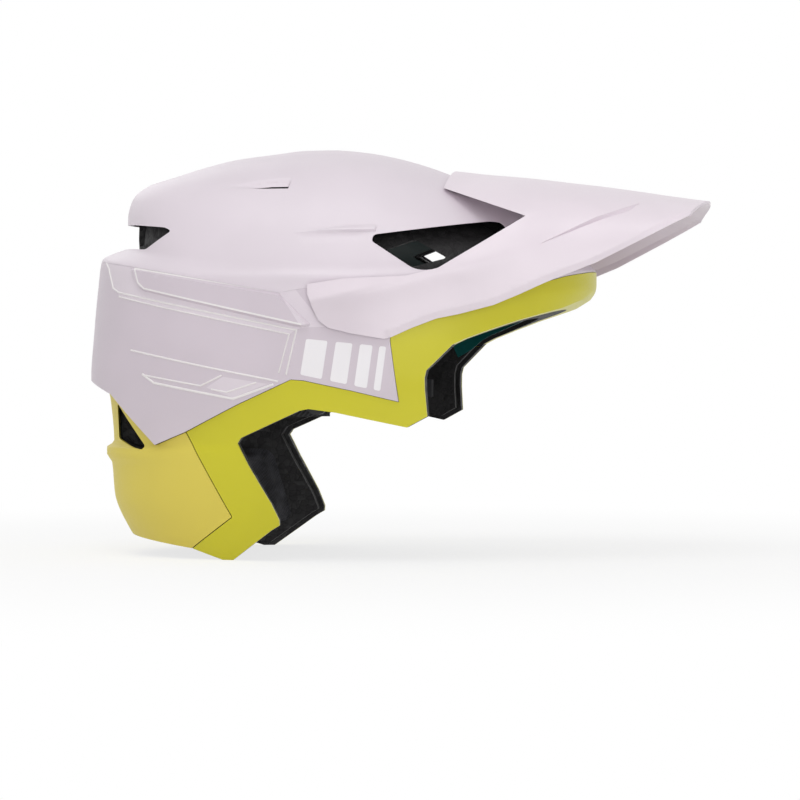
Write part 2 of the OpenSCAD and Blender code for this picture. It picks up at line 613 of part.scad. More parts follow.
// One half of the headband: a slotted plate with a rack at the nape, then the plain band
module band(r, up) moulding() {
    difference() {
        union() {
            arc(span(r, r + band_t, -plate_h / 2, plate_h / 2), -plate_wrap, plate_wrap, 90);
            arc(span(r, r + band_t, -band_h / 2, band_h / 2), plate_wrap - 0.5, wrap, 90);
        }
        arc(span(r - 1, r + band_t + 1, up ? -plain : -root, up ? root : plain), -slot_wrap, slot_wrap, 90);
    }
    last = floor(turn(travel + tooth_pitch) / turn(tooth_pitch)) - 0.5;
    for (i = [-last:1:last]) translate([band_x, 0, cradle_z()]) rotate([0, 0, i * turn(tooth_pitch)])
        rotate([0, -90, 0]) translate([0, 0, r + 0.1]) linear_extrude(band_t - 0.2)
            polygon([for (p = rack_tooth) [up ? p[0] : -p[0], p[1]]]);
}
module band_right() color(black) band(outer_r, true);
module band_left() color(black) mirror([0, 1, 0]) band(inner_r, false);

cradle_wrap = 18;
back_wall = 2.6;
cradle_h = plate_h + 2 * (fit + 2);
stem_w = 14;
stem_t = 1.6;
stem_at = cavity_x - cavity_len / 2 + 4.4;
track_low = -15;
track_high = 8;
track_w = stem_w + 6;
shaft_r = 2.5;
module along_x(from, to)
    translate([from, 0, cradle_z()]) rotate([0, 90, 0]) linear_extrude(to - from) children();
stem_foot = -20.6;
module cradle() color(black) difference() {
    union() {
        arc(span(lane_in - 0.2, lane_out + back_wall, -cradle_h / 2, cradle_h / 2),
            -cradle_wrap, cradle_wrap);
        across(-stem_w / 2, stem_w / 2) let (front = band_x - lane_out - 0.3, back = stem_at - stem_t / 2,
            low = cradle_z() + cradle_h / 2 - 1)
            polygon([[front, low], [front - 2, low], [front - 2, stem_foot - 1], [back, stem_foot - 1],
                [back, track_high], [back + stem_t, track_high], [back + stem_t, stem_foot + 1],
                [front, stem_foot + 1]]);
    }
    arc(span(lane_in - 1, lane_out, -plate_h / 2 - fit, plate_h / 2 + fit),
        -cradle_wrap - 1, cradle_wrap + 1);
    along_x(band_x - lane_out - back_wall - 1, band_x - lane_in) circle(shaft_r + run, $fn = 48);
}
module cradle_cover() color(black)
    arc(span(lane_in - 1.6, lane_in - 0.5, -cradle_h / 2, cradle_h / 2), -cradle_wrap, cradle_wrap);
module nape_pad() color(black) wall_patch(function (u, v, k) let (
    f = 180 - (2 * u - 1) * 19, r = lane_in - 1.9 - (k ? pad_t * crown(u, v) * channel(u, [0.5]) : 0))
    [band_x + r * cos(f), r * sin(f), cradle_z() + cradle_h * 0.52 * (2 * v - 1)], 12, 6);
module pinion() color(steel) union() {
    along_x(band_x - outer_r - band_t - 0.1, band_x - inner_r + 0.1) union() {
        circle(pitch_r - tooth_h / 2 - 0.3, $fn = 48);
        for (i = [0:pinion_teeth - 1]) rotate(360 * i / pinion_teeth)
            polygon([[pitch_r - 2.2, -1.15], [pitch_r + tooth_h / 2, -0.45], [pitch_r + tooth_h / 2, 0.45],
                [pitch_r - 2.2, 1.15]]);
    }
    along_x(dial_back() + 1, band_x - outer_r) circle(shaft_r, $fn = 48);
}
function dial_front() = band_x - lane_out - back_wall - fit;
function dial_back() = dial_front() - dial_t;
module dial() color(black) difference() {
    along_x(dial_back(), dial_front()) difference() {
        circle(dial_r, $fn = 96);
        for (i = [0:17]) rotate(20 * i) translate([dial_r + 0.6, 0]) circle(1.3, $fn = 24);
    }
    along_x(dial_back() + 1, dial_front() + 1) circle(shaft_r + 0.05, $fn = 48);
    along_x(dial_back() - 1, dial_back() + 2) difference() {
        circle(dial_r - 3, $fn = 64);
        circle(shaft_r + 2, $fn = 48);
        translate([-dial_r, -1.2]) square([2 * dial_r, 2.4]);
    }
}
module height_track() color(black) moulding() difference() {
    intersection() {
        translate([cavity_x - cavity_len / 2, -track_w / 2, track_low])
            cube([stem_at + stem_t / 2 + 2 - cavity_x + cavity_len / 2, track_w, track_high - track_low]);
        cavity(fit);
    }
    translate([stem_at - stem_t / 2 - 0.4, -stem_w / 2 - 0.35, track_low - 1])
        cube([stem_t + 0.8, stem_w + 0.7, track_high - track_low + 2]);
}
clip_room = band_h / 2 + cradle_travel + 0.4;
module band_clip_right() color(black) moulding() difference() {
    intersection() {
        arc(span(lane_in - 0.8, band_r + 7, -clip_room - 1.5, clip_room + 1.5), clip_at - 4, clip_at + 4);
        cavity(fit);
    }
    arc(span(lane_in, lane_out, -clip_room, clip_room), clip_at - 5, clip_at + 5);
}
module band_clip_left() mirror([0, 1, 0]) band_clip_right();

// Chin straps, tucked up against the sides of the cavity
strap_in = 9.4;
strap_row = -57.6;
module ribbon(points, d) {
    steps = 5;
    path = concat([for (i = [0:len(points) - 2]) for (s = [0:steps - 1])
        points[i] + (points[i + 1] - points[i]) * s / steps], [points[len(points) - 1]]);
    wall_patch(function (u, v, k) let (p = path[round(u * (len(path) - 1))],
        x = X(p[0]), z = Z(p[1]) + strap_w * (v - 0.5))
        [x, -cavity_y(x, z, d + (k ? strap_t : 0)), z], len(path) - 1, 2);
}
front_anchor = [2, strap_row];
rear_anchor = [-80, -72];
divider_at = [-47, strap_row - 1];
tail_end = [20, -51];
module strap_right() color(black) moulding() {
    ribbon([front_anchor, divider_at + [-9, 0], [-66, -64], rear_anchor], strap_in);
    ribbon([tail_end, [-37, strap_row - 1], divider_at + [-4, 0]], strap_in + strap_t - 0.1);
}
module strap_left() mirror([0, 1, 0]) strap_right();
module divider_shape(grow, width) wall_patch(function (u, v, k) let (
    x = X(divider_at[0]) + (7 + grow) * (1 - 2 * u),
    z = Z(divider_at[1]) + (strap_w / 2 + 0.8 + width) * (2 * v - 1))
    [x, -cavity_y(x, z, strap_in - 0.4 - width + (k ? 2 * strap_t + 0.8 + 2 * width : 0)), z], 3, 2);
module strap_divider_right() color(black) moulding() difference() {
    divider_shape(0, 1.2);
    divider_shape(2, 0);
}
module strap_divider_left() mirror([0, 1, 0]) strap_divider_right();
anchor_r = 6;
module strap_anchors() color(black) moulding() both_sides() difference() {
    intersection() {
        for (p = [front_anchor + [-6, 0], rear_anchor + [5, 1.5]]) across(-120, -20)
            translate([X(p[0]), Z(p[1])]) circle(anchor_r, $fn = 32);
        cavity(fit);
    }
    cavity(strap_in - fit);
}
// The buckle's halves lie along the wall at the ends of the straps
buckle_size = [25, 9, 18];
function on_strap(x) = [X(x), -cavity_y(X(x), Z(tail_end[1]), strap_in + strap_t * 1.5)];
module at_tail() let (a = on_strap(tail_end[0]), b = on_strap(tail_end[0] + buckle_size[0]))
    translate([a[0], a[1], Z(tail_end[1])]) rotate([0, 0, atan2(b[1] - a[1], b[0] - a[0])])
        translate([fit, 0, 0]) children();
module buckle_body(length) translate([0, -buckle_size[1] / 2, -buckle_size[2] / 2])
    cube([length, buckle_size[1], buckle_size[2]]);
prong = [11, 3.4, 10];
module buckle_socket() color(black) at_tail() difference() {
    buckle_body(buckle_size[0]);
    translate([buckle_size[0] - prong[0] - fit, -prong[1] / 2 - fit, -prong[2] / 2 - fit])
        cube([prong[0] + 1, prong[1] + 2 * fit, prong[2] + 2 * fit]);
}
module buckle_tongue() color(black) mirror([0, 1, 0]) at_tail() union() {
    buckle_body(buckle_size[0] - prong[0] - 2);
    translate([buckle_size[0] - prong[0] - 3, -prong[1] / 2, -prong[2] / 2])
        cube([prong[0] + 1, prong[1], prong[2]]);
}

module chinbar_socket_right() color(black) difference() {
    translate([X(socket_x) - socket_size[0] / 2, -socket_y() - socket_size[1] / 2, Z(socket_foot)])
        cube([socket_size[0], socket_size[1], Z(socket_top) - Z(socket_foot)]);
    translate([X(socket_x), -socket_y(), Z(socket_foot) - 1])
        cylinder(h = socket_depth + 1, r = socket_r, $fn = 64);
}
module chinbar_socket_left() mirror([0, 1, 0]) chinbar_socket_right();

crown_shell();
belt_shell();
lower_shell();
neck_shell();
crown_liner();
neck_liner();
slip_liner();
slip_anchors();
brow_pad();
crown_pad();
side_pad_right();
side_pad_left();
ear_pad_right();
ear_pad_left();
pad_tabs();
visor();
visor_keel();
keel_guide();
detent_spring();
pivot_stud_right();
pivot_stud_left();
pivot_bush_right();
pivot_bush_left();
height_track();
cradle();
cradle_cover();
nape_pad();
dial();
pinion();
band_right();
band_left();
band_clip_right();
band_clip_left();
strap_right();
strap_left();
strap_divider_right();
strap_divider_left();
buckle_socket();
buckle_tongue();
strap_anchors();
chinbar_socket_right();
chinbar_socket_left();
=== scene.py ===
# %% [markdown]
# A trail helmet with its chin bar taken off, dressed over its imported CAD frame.
# The frame already holds every piece at its real size, so this script only gives them their
# looks. Hard shells are modelled again as smooth thin mouldings, cushions are inflated as cloth,
# and the rest of the frame keeps its own shape and gets a finish.
# Shapes are worked out in millimetres, and each finished mesh is scaled to metres once.

# %% Load the frame
import json
import math
import bmesh
import bpy
from mathutils import Matrix, Vector


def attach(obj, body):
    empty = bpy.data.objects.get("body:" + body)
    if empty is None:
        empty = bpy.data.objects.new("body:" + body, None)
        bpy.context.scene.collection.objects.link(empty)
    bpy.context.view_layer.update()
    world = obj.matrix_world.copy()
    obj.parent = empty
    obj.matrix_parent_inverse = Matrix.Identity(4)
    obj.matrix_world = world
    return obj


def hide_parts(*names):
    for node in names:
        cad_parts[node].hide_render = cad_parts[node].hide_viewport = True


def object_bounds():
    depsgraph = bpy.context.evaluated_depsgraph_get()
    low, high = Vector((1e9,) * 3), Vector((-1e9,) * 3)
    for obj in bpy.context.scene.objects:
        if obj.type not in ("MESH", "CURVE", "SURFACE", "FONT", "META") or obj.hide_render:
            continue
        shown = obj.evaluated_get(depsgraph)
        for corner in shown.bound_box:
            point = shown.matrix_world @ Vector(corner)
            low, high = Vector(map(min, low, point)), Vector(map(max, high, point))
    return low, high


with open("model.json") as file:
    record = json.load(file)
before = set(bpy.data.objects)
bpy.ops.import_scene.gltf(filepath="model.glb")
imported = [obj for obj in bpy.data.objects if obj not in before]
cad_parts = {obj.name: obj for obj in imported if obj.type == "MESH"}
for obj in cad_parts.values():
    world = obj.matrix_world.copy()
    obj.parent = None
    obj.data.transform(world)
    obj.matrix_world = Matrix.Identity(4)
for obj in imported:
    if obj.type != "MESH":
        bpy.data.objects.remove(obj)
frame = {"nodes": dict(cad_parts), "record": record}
cad_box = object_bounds()
MM = 0.001
scene = bpy.context.scene
print("nodes in the frame:", len(frame["nodes"]))

# %% [markdown]
# The camera stands where the photographer stood. Pairs of points on the near and far side of
# the helmet gave the distance and the turn, so a long lens almost square to the side is right.
# A camera could also be placed by eye, but then outlines that should meet would drift apart.

# %% Camera
AZIMUTH = math.radians(7.49)
ELEVATION = math.radians(1.08)
DISTANCE = 1906
TARGET = Vector((31.7, 0, -56.8))
SENSOR = 36
PHOTO_WIDTH = 800
PIXELS_PER_MM = 1.76
LENS = SENSOR * PIXELS_PER_MM * DISTANCE / PHOTO_WIDTH


def towards_camera():
    flat = math.cos(ELEVATION)
    return Vector((math.sin(AZIMUTH) * flat, -math.cos(AZIMUTH) * flat, math.sin(ELEVATION)))


camera = bpy.data.objects.new("camera", bpy.data.cameras.new("camera"))
camera.data.sensor_width = SENSOR
camera.data.lens = LENS
camera.location = (TARGET + DISTANCE * towards_camera()) * MM
camera.rotation_euler = towards_camera().to_track_quat("Z", "Y").to_euler()
scene.collection.objects.link(camera)
scene.camera = camera
print("lens:", round(LENS, 1), "mm")

# %% [markdown]
# Materials are nodes, and node trees are easier to read as sums and products. The class wraps
# an output socket so that ordinary operators add Math nodes. Dragging nodes by hand would do
# the same work, but it can't be read or repeated.

# %% Sums of nodes
class Value:
    """An output socket. Sums and products on it add Math nodes."""

    def __init__(self, shader, socket):
        self.shader = shader
        self.socket = socket

    def math(self, operation, *others):
        return self.shader.add("ShaderNodeMath", {"operation": operation}, self, *others)

    def __add__(self, other):
        return self.math("ADD", other)

    def __sub__(self, other):
        return self.math("SUBTRACT", other)

    def __mul__(self, other):
        return self.math("MULTIPLY", other)

    def __abs__(self):
        return self.math("ABSOLUTE")

    def highest(self, other):
        return self.math("MAXIMUM", other)

    __radd__ = __add__


print("a value can be added, subtracted, multiplied and compared")

# %% [markdown]
# Nodes makes any node of a tree from its type, its settings and its inputs, and a few short
# methods make what nearly every finish here needs. A Shader is a material with one surface.
# Colours are given as they look on screen, since that is how they were read from the photograph.

# %% Nodes and shaders
class Nodes:
    """A node tree, and short ways to add to it."""

    def __init__(self, tree):
        self.tree = tree

    def add(self, kind, settings=None, *values, out=0, **named):
        node = self.tree.nodes.new(kind)
        for key, value in (settings or {}).items():
            setattr(node, key, value)
        pairs = list(enumerate(values)) + [(k.replace("_", " "), v) for k, v in named.items()]
        for key, value in pairs:
            if isinstance(value, Value):
                self.tree.links.new(value.socket, node.inputs[key])
            else:
                node.inputs[key].default_value = value
        return Value(self, node.outputs[out])

    def place(self):
        """Object coordinates in millimetres."""
        at = self.add("ShaderNodeTexCoord", out=3)
        return self.add("ShaderNodeMapping", None, at, Scale=[1 / MM] * 3)

    def axes(self):
        node = self.add("ShaderNodeSeparateXYZ", None, self.place()).socket.node
        return [Value(self, s) for s in node.outputs]

    def noise(self, at, scale, detail=2, **more):
        return self.add("ShaderNodeTexNoise", None, Vector=at, Scale=scale, Detail=detail, **more)

    def mix(self, mask, a, b):
        node = self.add("ShaderNodeMix", {"data_type": "RGBA"}).socket.node
        for socket, value in ((node.inputs[0], mask), (node.inputs[6], a), (node.inputs[7], b)):
            if isinstance(value, Value):
                self.tree.links.new(value.socket, socket)
            elif hasattr(value, "__len__"):
                socket.default_value = (*linear(value), 1)
            else:
                socket.default_value = value
        return Value(self, node.outputs[2])

    def ramp(self, value, low, high, to_low=0, to_high=1):
        """Runs smoothly from to_low to to_high as value goes from low to high."""
        return self.add("ShaderNodeMapRange", {"interpolation_type": "SMOOTHSTEP"}, value,
                        low, high, to_low, to_high)


class Shader(Nodes):
    """A material with one Principled shader, and what feeds it."""

    def __init__(self, name, colour, roughness, **constants):
        self.material = bpy.data.materials.new(name)
        self.material.use_nodes = True
        super().__init__(self.material.node_tree)
        self.surface = self.tree.nodes["Principled BSDF"]
        self.surface.inputs["Base Color"].default_value = (*linear(colour), 1)
        self.surface.inputs["Roughness"].default_value = roughness
        self.material.diffuse_color = (*linear(colour), 1)
        for socket, value in constants.items():
            self.surface.inputs[socket.replace("_", " ")].default_value = value

    def feed(self, socket, value):
        self.tree.links.new(value.socket, self.surface.inputs[socket])

    def bump(self, height, depth, strength=1):
        """Height from 0 to 1, depth in millimetres."""
        self.feed("Normal", self.add("ShaderNodeBump", None, Strength=strength,
                                     Distance=depth * MM, Height=height))


def linear(colour):
    """A colour given as it looks on screen, 0 to 255, as the renderer wants it."""
    return [(c / 255 / 12.92 if c < 10 else ((c / 255 + 0.055) / 1.055) ** 2.4) for c in colour]


print("mid grey as the renderer has it:", round(linear((128, 128, 128))[0], 3))

# %% [markdown]
# The stage is a pale floor and three soft lamps. A product photograph on white is lit from
# all round, so the world gives most of the light and a large lamp from above the camera gives
# the shapes their shading. Rays from the camera and from reflections see plain white instead
# of the dim world, which keeps the background white without adding light.

# %% Stage and lights
WORLD_LIGHT = 0.6
LAMPS = [("key", (-200, -900, 2000), 1200, 14), ("fill", (700, -1900, 0), 1300, 13),
         ("rim", (-900, 1400, 900), 800, 2)]
FLOOR_SIZE = 12
SHADOW_NEAR = 0.25
SHADOW_FAR = 0.6
SHADOW_WHITE = 0.75
WHITE = (1, 1, 1, 1)


def seen_directly(shader):
    """1 for rays from the camera, from glossy surfaces and through clear ones."""
    path = shader.add("ShaderNodeLightPath").socket.node.outputs
    camera_ray, glossy_ray, clear_ray = (
        Value(shader, path[k]) for k in ("Is Camera Ray", "Is Glossy Ray", "Is Transmission Ray"))
    return camera_ray.highest(glossy_ray).highest(clear_ray)


def white_world():
    world = bpy.data.worlds.new("studio")
    world.use_nodes = True
    scene.world = world
    shader = Nodes(world.node_tree)
    glow = world.node_tree.nodes["Background"]
    glow.inputs["Color"].default_value = WHITE
    level = WORLD_LIGHT + seen_directly(shader) * (1 - WORLD_LIGHT)
    world.node_tree.links.new(level.socket, glow.inputs["Strength"])


def floor():
    """Pale matt floor. The camera sees it as plain white, but for the shadow near the helmet."""
    bm = bmesh.new()
    bmesh.ops.create_grid(bm, x_segments=8, y_segments=8, size=FLOOR_SIZE / 2)
    bmesh.ops.translate(bm, verts=bm.verts, vec=(0, 0, cad_box[0].z))
    mesh = bpy.data.meshes.new("floor")
    bm.to_mesh(mesh)
    piece = bpy.data.objects.new("floor", mesh)
    scene.collection.objects.link(piece)
    shader = Shader("floor_white", (245, 245, 245), 0.9)
    glow = shader.add("ShaderNodeEmission", None, Color=WHITE, Strength=1.0)
    reach = shader.add("ShaderNodeVectorMath", {"operation": "LENGTH"}, shader.place(), out=1) * MM
    share = seen_directly(shader) * shader.ramp(reach, SHADOW_NEAR, SHADOW_FAR, SHADOW_WHITE, 1)
    both = shader.add("ShaderNodeMixShader", None, share)
    shader.tree.links.new(shader.surface.outputs[0], both.socket.node.inputs[1])
    shader.tree.links.new(glow.socket, both.socket.node.inputs[2])
    shader.tree.links.new(both.socket, shader.tree.nodes["Material Output"].inputs["Surface"])
    mesh.materials.append(shader.material)


def lamp(name, place, size, watts):
    light = bpy.data.lights.new(name, "AREA")
    light.size = size * MM
    light.energy = watts
    piece = bpy.data.objects.new(name, light)
    piece.location = Vector(place) * MM
    piece.rotation_euler = (Vector(place) - TARGET).to_track_quat("Z", "Y").to_euler()
    scene.collection.objects.link(piece)


white_world()
floor()
for lamp_row in LAMPS:
    lamp(*lamp_row)
scene.view_settings.view_transform = "Standard"
print("lamps:", [row[0] for row in LAMPS])

# %% [markdown]
# The outer shell is a stack of rings from the crown down. Each ring is a rounded oval whose
# back, front and side are given apart, because a head is not an ellipse. A row holds the x of
# its back and front, its half width, and the heights of its back, sides and front.

# %% Rings of the shell
SHELL_N = 2.3
MID_X = -5
CROWN = [
    (-5, -5, 0, 85.2, 85.2, 85.2),
    (-22, 4, 10, 84.8, 84.3, 84.4),
    (-40, 18, 26, 82.4, 82, 82.6),
    (-62, 33, 40, 79.3, 78.5, 79.5),
    (-79, 48, 53, 75, 74, 75.2),
    (-96.5, 64, 64, 69.5, 68, 69.2),
    (-112, 80, 73, 64.5, 60, 61.5),
    (-120.5, 96, 81.5, 57, 50.5, 51),
    (-123, 112, 88, 47, 41, 41),
    (-123, 127, 93.5, 38, 30, 31),
    (-122.5, 136, 97.5, 30, 20, 23),
    (-129, 140, 98.8, 27.3, 15, 19),
    (-137.5, 143, 101, 23, 10, 15),
    (-139.8, 143, 101, 8, 0, 8),
    (-142.5, 138, 100.6, -20, -20, -6),
    (-144.3, 134, 98.8, -44, -44, -30)]
SKIRT = [
    (-143.5, 134, 95.6, -62, -62, -62),
    (-140, 134, 92.8, -80, -80, -80),
    (-137.5, 134, 91, -92, -92, -92)]
NECK = [
    (-134.8, 134, 97.2, -50, -50, -50),
    (-133, 134, 95.8, -57, -57, -57),
    (-131.2, 134, 92.3, -80, -80, -80),
    (-135.5, 134, 92, -83.5, -83.5, -83.5),
    (-135.5, 134, 91.6, -87, -87, -87),
    (-132.5, 134, 91, -92, -92, -92),
    (-131, 134, 87, -110, -110, -110),
    (-122.5, 134, 80.5, -130, -130, -130),
    (-109, 134, 73.5, -148, -148, -148)]
print("rings given:", len(CROWN), "for the crown,", len(SKIRT), "and", len(NECK), "below it")

# %% [markdown]
# Between the given rings a curve that never overshoots gives rows about 2 mm apart, so the shell
# is smooth but keeps the small shelf at its back. A subdivided cage would look as smooth, but it
# shrinks, and the moulding has to stay on the frame.

# %% Rows between the rings
ROW_STEP = 2.2
ROUND = 300
DOME_FOOT = 10
DOME_RISE = 75


def limited(value):
    """The value held between 0 and 1."""
    return min(1, max(0, value))


def slopes(places, values):
    """Slopes for a curve through values at places that never overshoots them."""
    steps = [(v - u) / (q - p) for p, q, u, v in zip(places, places[1:], values, values[1:])]
    middle = [0 if a * b <= 0 else 2 * a * b / (a + b) for a, b in zip(steps, steps[1:])]
    return [steps[0], *middle, steps[-1]]


def along(places, values, at):
    """The curve's value at a place."""
    k = max(0, min(len(places) - 2, sum(p <= at for p in places) - 1))
    m = slopes(places, values)
    width = places[k + 1] - places[k]
    t = limited((at - places[k]) / width)
    return ((1 + 2 * t) * (1 - t) ** 2 * values[k] + t * (1 - t) ** 2 * width * m[k]
            + t * t * (3 - 2 * t) * values[k + 1] + t * t * (t - 1) * width * m[k + 1])


def dense(rings, step=ROW_STEP):
    """The rings with smooth ones between them, about step apart."""
    places = [0]
    for a, b in zip(rings, rings[1:]):
        places.append(places[-1] + max(abs(a[0] - b[0]), math.dist((a[2], a[4]), (b[2], b[4]))))
    columns = list(zip(*rings))
    count = math.ceil(places[-1] / step)
    stops = sorted({round(places[-1] * i / count, 3) for i in range(count + 1)})
    return [[along(places, column, s) for column in columns] for s in stops]


def bend(c, n):
    """Turns a circle's sine or cosine into a superellipse's."""
    return math.copysign(abs(c) ** (2 / n), c)


def shell_point(ring, turn, deep=0):
    """A point of a ring, moved into the shell by deep."""
    back, front, half, back_z, side_z, front_z = ring
    c, s = math.cos(turn), math.sin(turn)
    reach = max(0.01, (front - MID_X if c > 0 else MID_X - back) - deep)
    high = side_z + ((front_z if c > 0 else back_z) - side_z) * c * c
    drop = deep * max(0, high - DOME_FOOT) / DOME_RISE
    return Vector((MID_X + reach * bend(c, SHELL_N), max(0, half - deep) * bend(s, SHELL_N), high - drop))


belt_rows = dense(CROWN + SKIRT)
neck_rows = dense(CROWN + NECK)
print("rows down the shell:", len(belt_rows), "and", len(neck_rows))

# %% [markdown]
# A sheet starts as a flat grid whose corners are then put on a surface. Building the faces one
# by one would also do, but the grid gives neat quads with no pole where they matter.

# %% Sheets
def sheet(nu, nv, place):
    """A grid whose corners lie where place puts them, for u and v from 0 to 1."""
    bm = bmesh.new()
    bmesh.ops.create_grid(bm, x_segments=nu, y_segments=nv, size=0.5)
    for v in bm.verts:
        v.co = place(v.co.x + 0.5, v.co.y + 0.5)
    bmesh.ops.remove_doubles(bm, verts=bm.verts, dist=0.01)
    return bm


def outwards(bm, centre=Vector((0, 0, 0))):
    """Turns the faces so that most of them look away from the centre."""
    bmesh.ops.recalc_face_normals(bm, faces=bm.faces)
    tally = sum(f.normal.dot(f.calc_center_median() - centre) * f.calc_area() for f in bm.faces)
    if tally < 0:
        bmesh.ops.reverse_faces(bm, faces=bm.faces)


def body_sheet(rows, deep=0):
    """The rings joined to an open bell, deep inside the outer face."""
    def place(u, v):
        return shell_point(rows[round(v * (len(rows) - 1))], 2 * math.pi * u, deep)
    bm = sheet(ROUND, len(rows) - 1, place)
    outwards(bm)
    return bm


print("grid of a shell:", ROUND, "by", len(belt_rows) - 1)

# %% [markdown]
# Seams, vents and relief are outlines drawn in the side view, as a cutter would draw them on
# paper. They are lists of points, because a corner can then be rounded, and an outline can be
# moved in or out by a gap, before anything is cut.

# %% Outlines
def seen_from_side(co):
    """A place as the side view draws it."""
    return co.x, co.z


def inside(outline, point):
    """Whether a point lies in an outline, by counting the sides that a ray crosses."""
    x, z = point
    hit = False
    for (x0, z0), (x1, z1) in zip(outline, outline[1:] + outline[:1]):
        if (z0 > z) != (z1 > z) and x < x0 + (x1 - x0) * (z - z0) / (z1 - z0):
            hit = not hit
    return hit


def oblong(x0, z0, x1, z1):
    return [(x0, z0), (x1, z0), (x1, z1), (x0, z1)]


def circle(radius, at, count=64):
    turns = [2 * math.pi * i / count for i in range(count)]
    return [(at[0] + radius * math.cos(t), at[1] + radius * math.sin(t)) for t in turns]


def rounded(points, radius, steps=4):
    """A closed outline with its corners rounded."""
    out = []
    for before, corner, after in zip(points[-1:] + points[:-1], points, points[1:] + points[:1]):
        p, c, q = Vector(before), Vector(corner), Vector(after)
        to_p, to_q = (p - c), (q - c)
        reach = min(radius, to_p.length * 0.45, to_q.length * 0.45)
        a, b = c + to_p.normalized() * reach, c + to_q.normalized() * reach
        for i in range(steps + 1):
            t = i / steps
            out.append(tuple(a * (1 - t) ** 2 + c * 2 * t * (1 - t) + b * t * t))
    return out


def depth_in(outline, point):
    """How far a point lies inside an outline, 0 outside it."""
    if not inside(outline, point):
        return 0
    nearest = 1e9
    for a, b in zip(outline, outline[1:] + outline[:1]):
        span = Vector(b) - Vector(a)
        t = limited((Vector(point) - Vector(a)).dot(span) / max(1e-9, span.length_squared))
        nearest = min(nearest, (Vector(a) + span * t - Vector(point)).length)
    return nearest


def shrunk(outline, amount):
    """The outline moved inwards."""
    turn = sum(a[0] * b[1] - b[0] * a[1] for a, b in zip(outline, outline[1:] + outline[:1]))
    out = []
    for p, c, q in zip(outline[-1:] + outline[:-1], outline, outline[1:] + outline[:1]):
        a, b = (Vector(c) - Vector(p)).normalized(), (Vector(q) - Vector(c)).normalized()
        way = Vector((-a.y - b.y, a.x + b.x)).normalized() * (1 if turn > 0 else -1)
        square = max(0.35, abs(way.dot(Vector((-a.y, a.x)))))
        out.append(tuple(Vector(c) + way * amount / square))
    return out


def stroke(points, width):
    """The outline of a line drawn with a pen of that width."""
    sides = [[], []]
    for k, point in enumerate(points):
        before = Vector(points[max(0, k - 1)])
        after = Vector(points[min(len(points) - 1, k + 1)])
        here = Vector(point)
        a = (here - before).normalized() if k else (after - here).normalized()
        b = (after - here).normalized() if k < len(points) - 1 else a
        way = Vector((-a.y - b.y, a.x + b.x)).normalized()
        reach = width / 2 / max(0.4, way.dot(Vector((-a.y, a.x))))
        for side, sign in zip(sides, (1, -1)):
            side.append(tuple(here + way * reach * sign))
    return sides[0] + sides[1][::-1]


print("a rounded oblong has", len(rounded(oblong(0, 0, 9, 9), 1)), "points")

# %% [markdown]
# The shells have creases, sunk ramps and raised lines. They are put into the form before it is
# cut: lines are scribed into the mesh with bisect planes, one for each straight stretch of an
# outline, and the points between them are moved along their normals. A bump map would be
# quicker, but it wouldn't show at the silhouette or in the exported mesh.

# %% Relief
def everywhere(co):
    return True


def extent(points):
    """The lowest and the highest corner of the box round the points."""
    columns = list(zip(*points))
    return [min(c) for c in columns], [max(c) for c in columns]


def over(face, box, spare):
    """Whether a face, seen from the side, comes within spare of a box."""
    low, high = extent([seen_from_side(v.co) for v in face.verts])
    return all(low[k] <= box[1][k] + spare and high[k] >= box[0][k] - spare for k in (0, 1))


def scribe(bm, outline, near=everywhere, closed=True):
    """Cuts the mesh's faces along an outline."""
    margin, slack = 4, 0.2
    whole = extent(outline)
    local = [f for f in bm.faces if near(f.verts[0].co) and over(f, whole, margin)]
    ends = outline[1:] + outline[:1] if closed else outline[1:]
    for (x0, z0), (x1, z1) in zip(outline, ends):
        if math.dist((x0, z0), (x1, z1)) < 0.01:
            continue
        stretch = extent([(x0, z0), (x1, z1)])
        hit = [f for f in local if f.is_valid and over(f, stretch, slack)]
        parts = {e for f in hit for e in f.edges} | {v for f in hit for v in f.verts} | set(hit)
        done = bmesh.ops.bisect_plane(bm, geom=list(parts), dist=0.01, plane_co=(x0, 0, z0),
                                      plane_no=(z1 - z0, 0, x0 - x1))
        hit_now = {g for g in done["geom"] if isinstance(g, bmesh.types.BMFace)}
        local = [f for f in local if f.is_valid and f not in hit_now] + list(hit_now)


def emboss(bm, outline, height, slope, near=everywhere, share=lambda co: 1):
    """Raises what lies inside an outline, or sinks it where height is negative, with a sloping
    edge. share says how much of the height a place gets."""
    scribe(bm, outline, near)
    scribe(bm, shrunk(outline, slope), near)
    bm.normal_update()
    moves = []
    for v in bm.verts:
        if near(v.co):
            deep = depth_in(outline, seen_from_side(v.co))
            if deep > 0.02:
                moves.append((v, v.normal * height * min(1, deep / slope) * share(v.co)))
    for v, move in moves:
        v.co += move


def fold(bm, points, height, width, near=everywhere):
    """Raises a soft crease along a line, fading at its ends."""
    bm.normal_update()
    total = sum(math.dist(a, b) for a, b in zip(points, points[1:]))
    moves = []
    for v in bm.verts:
        if not near(v.co):
            continue
        here, run, best = Vector(seen_from_side(v.co)), 0, (1e9, 0)
        for a, b in zip(points, points[1:]):
            span = Vector(b) - Vector(a)
            t = limited((here - Vector(a)).dot(span) / span.length_squared)
            best = min(best, ((Vector(a) + span * t - here).length, run + t * span.length))
            run += span.length
        if best[0] < width * 2.5:
            fade = min(1, min(best[1], total - best[1]) / total * 5)
            moves.append((v, v.normal * height * math.exp(-(best[0] / width) ** 2) * fade))
    for v, move in moves:
        v.co += move


print("relief: scribed lines, raised or sunk fields and folds")

# %% [markdown]
# The visor and the straps start as sheets without a wall. A real moulding has no knife edges, so
# the wall is added inwards and the border gets a small round, made by extruding the border along
# a quarter circle and back. The Solidify modifier would add the wall, but not the round.

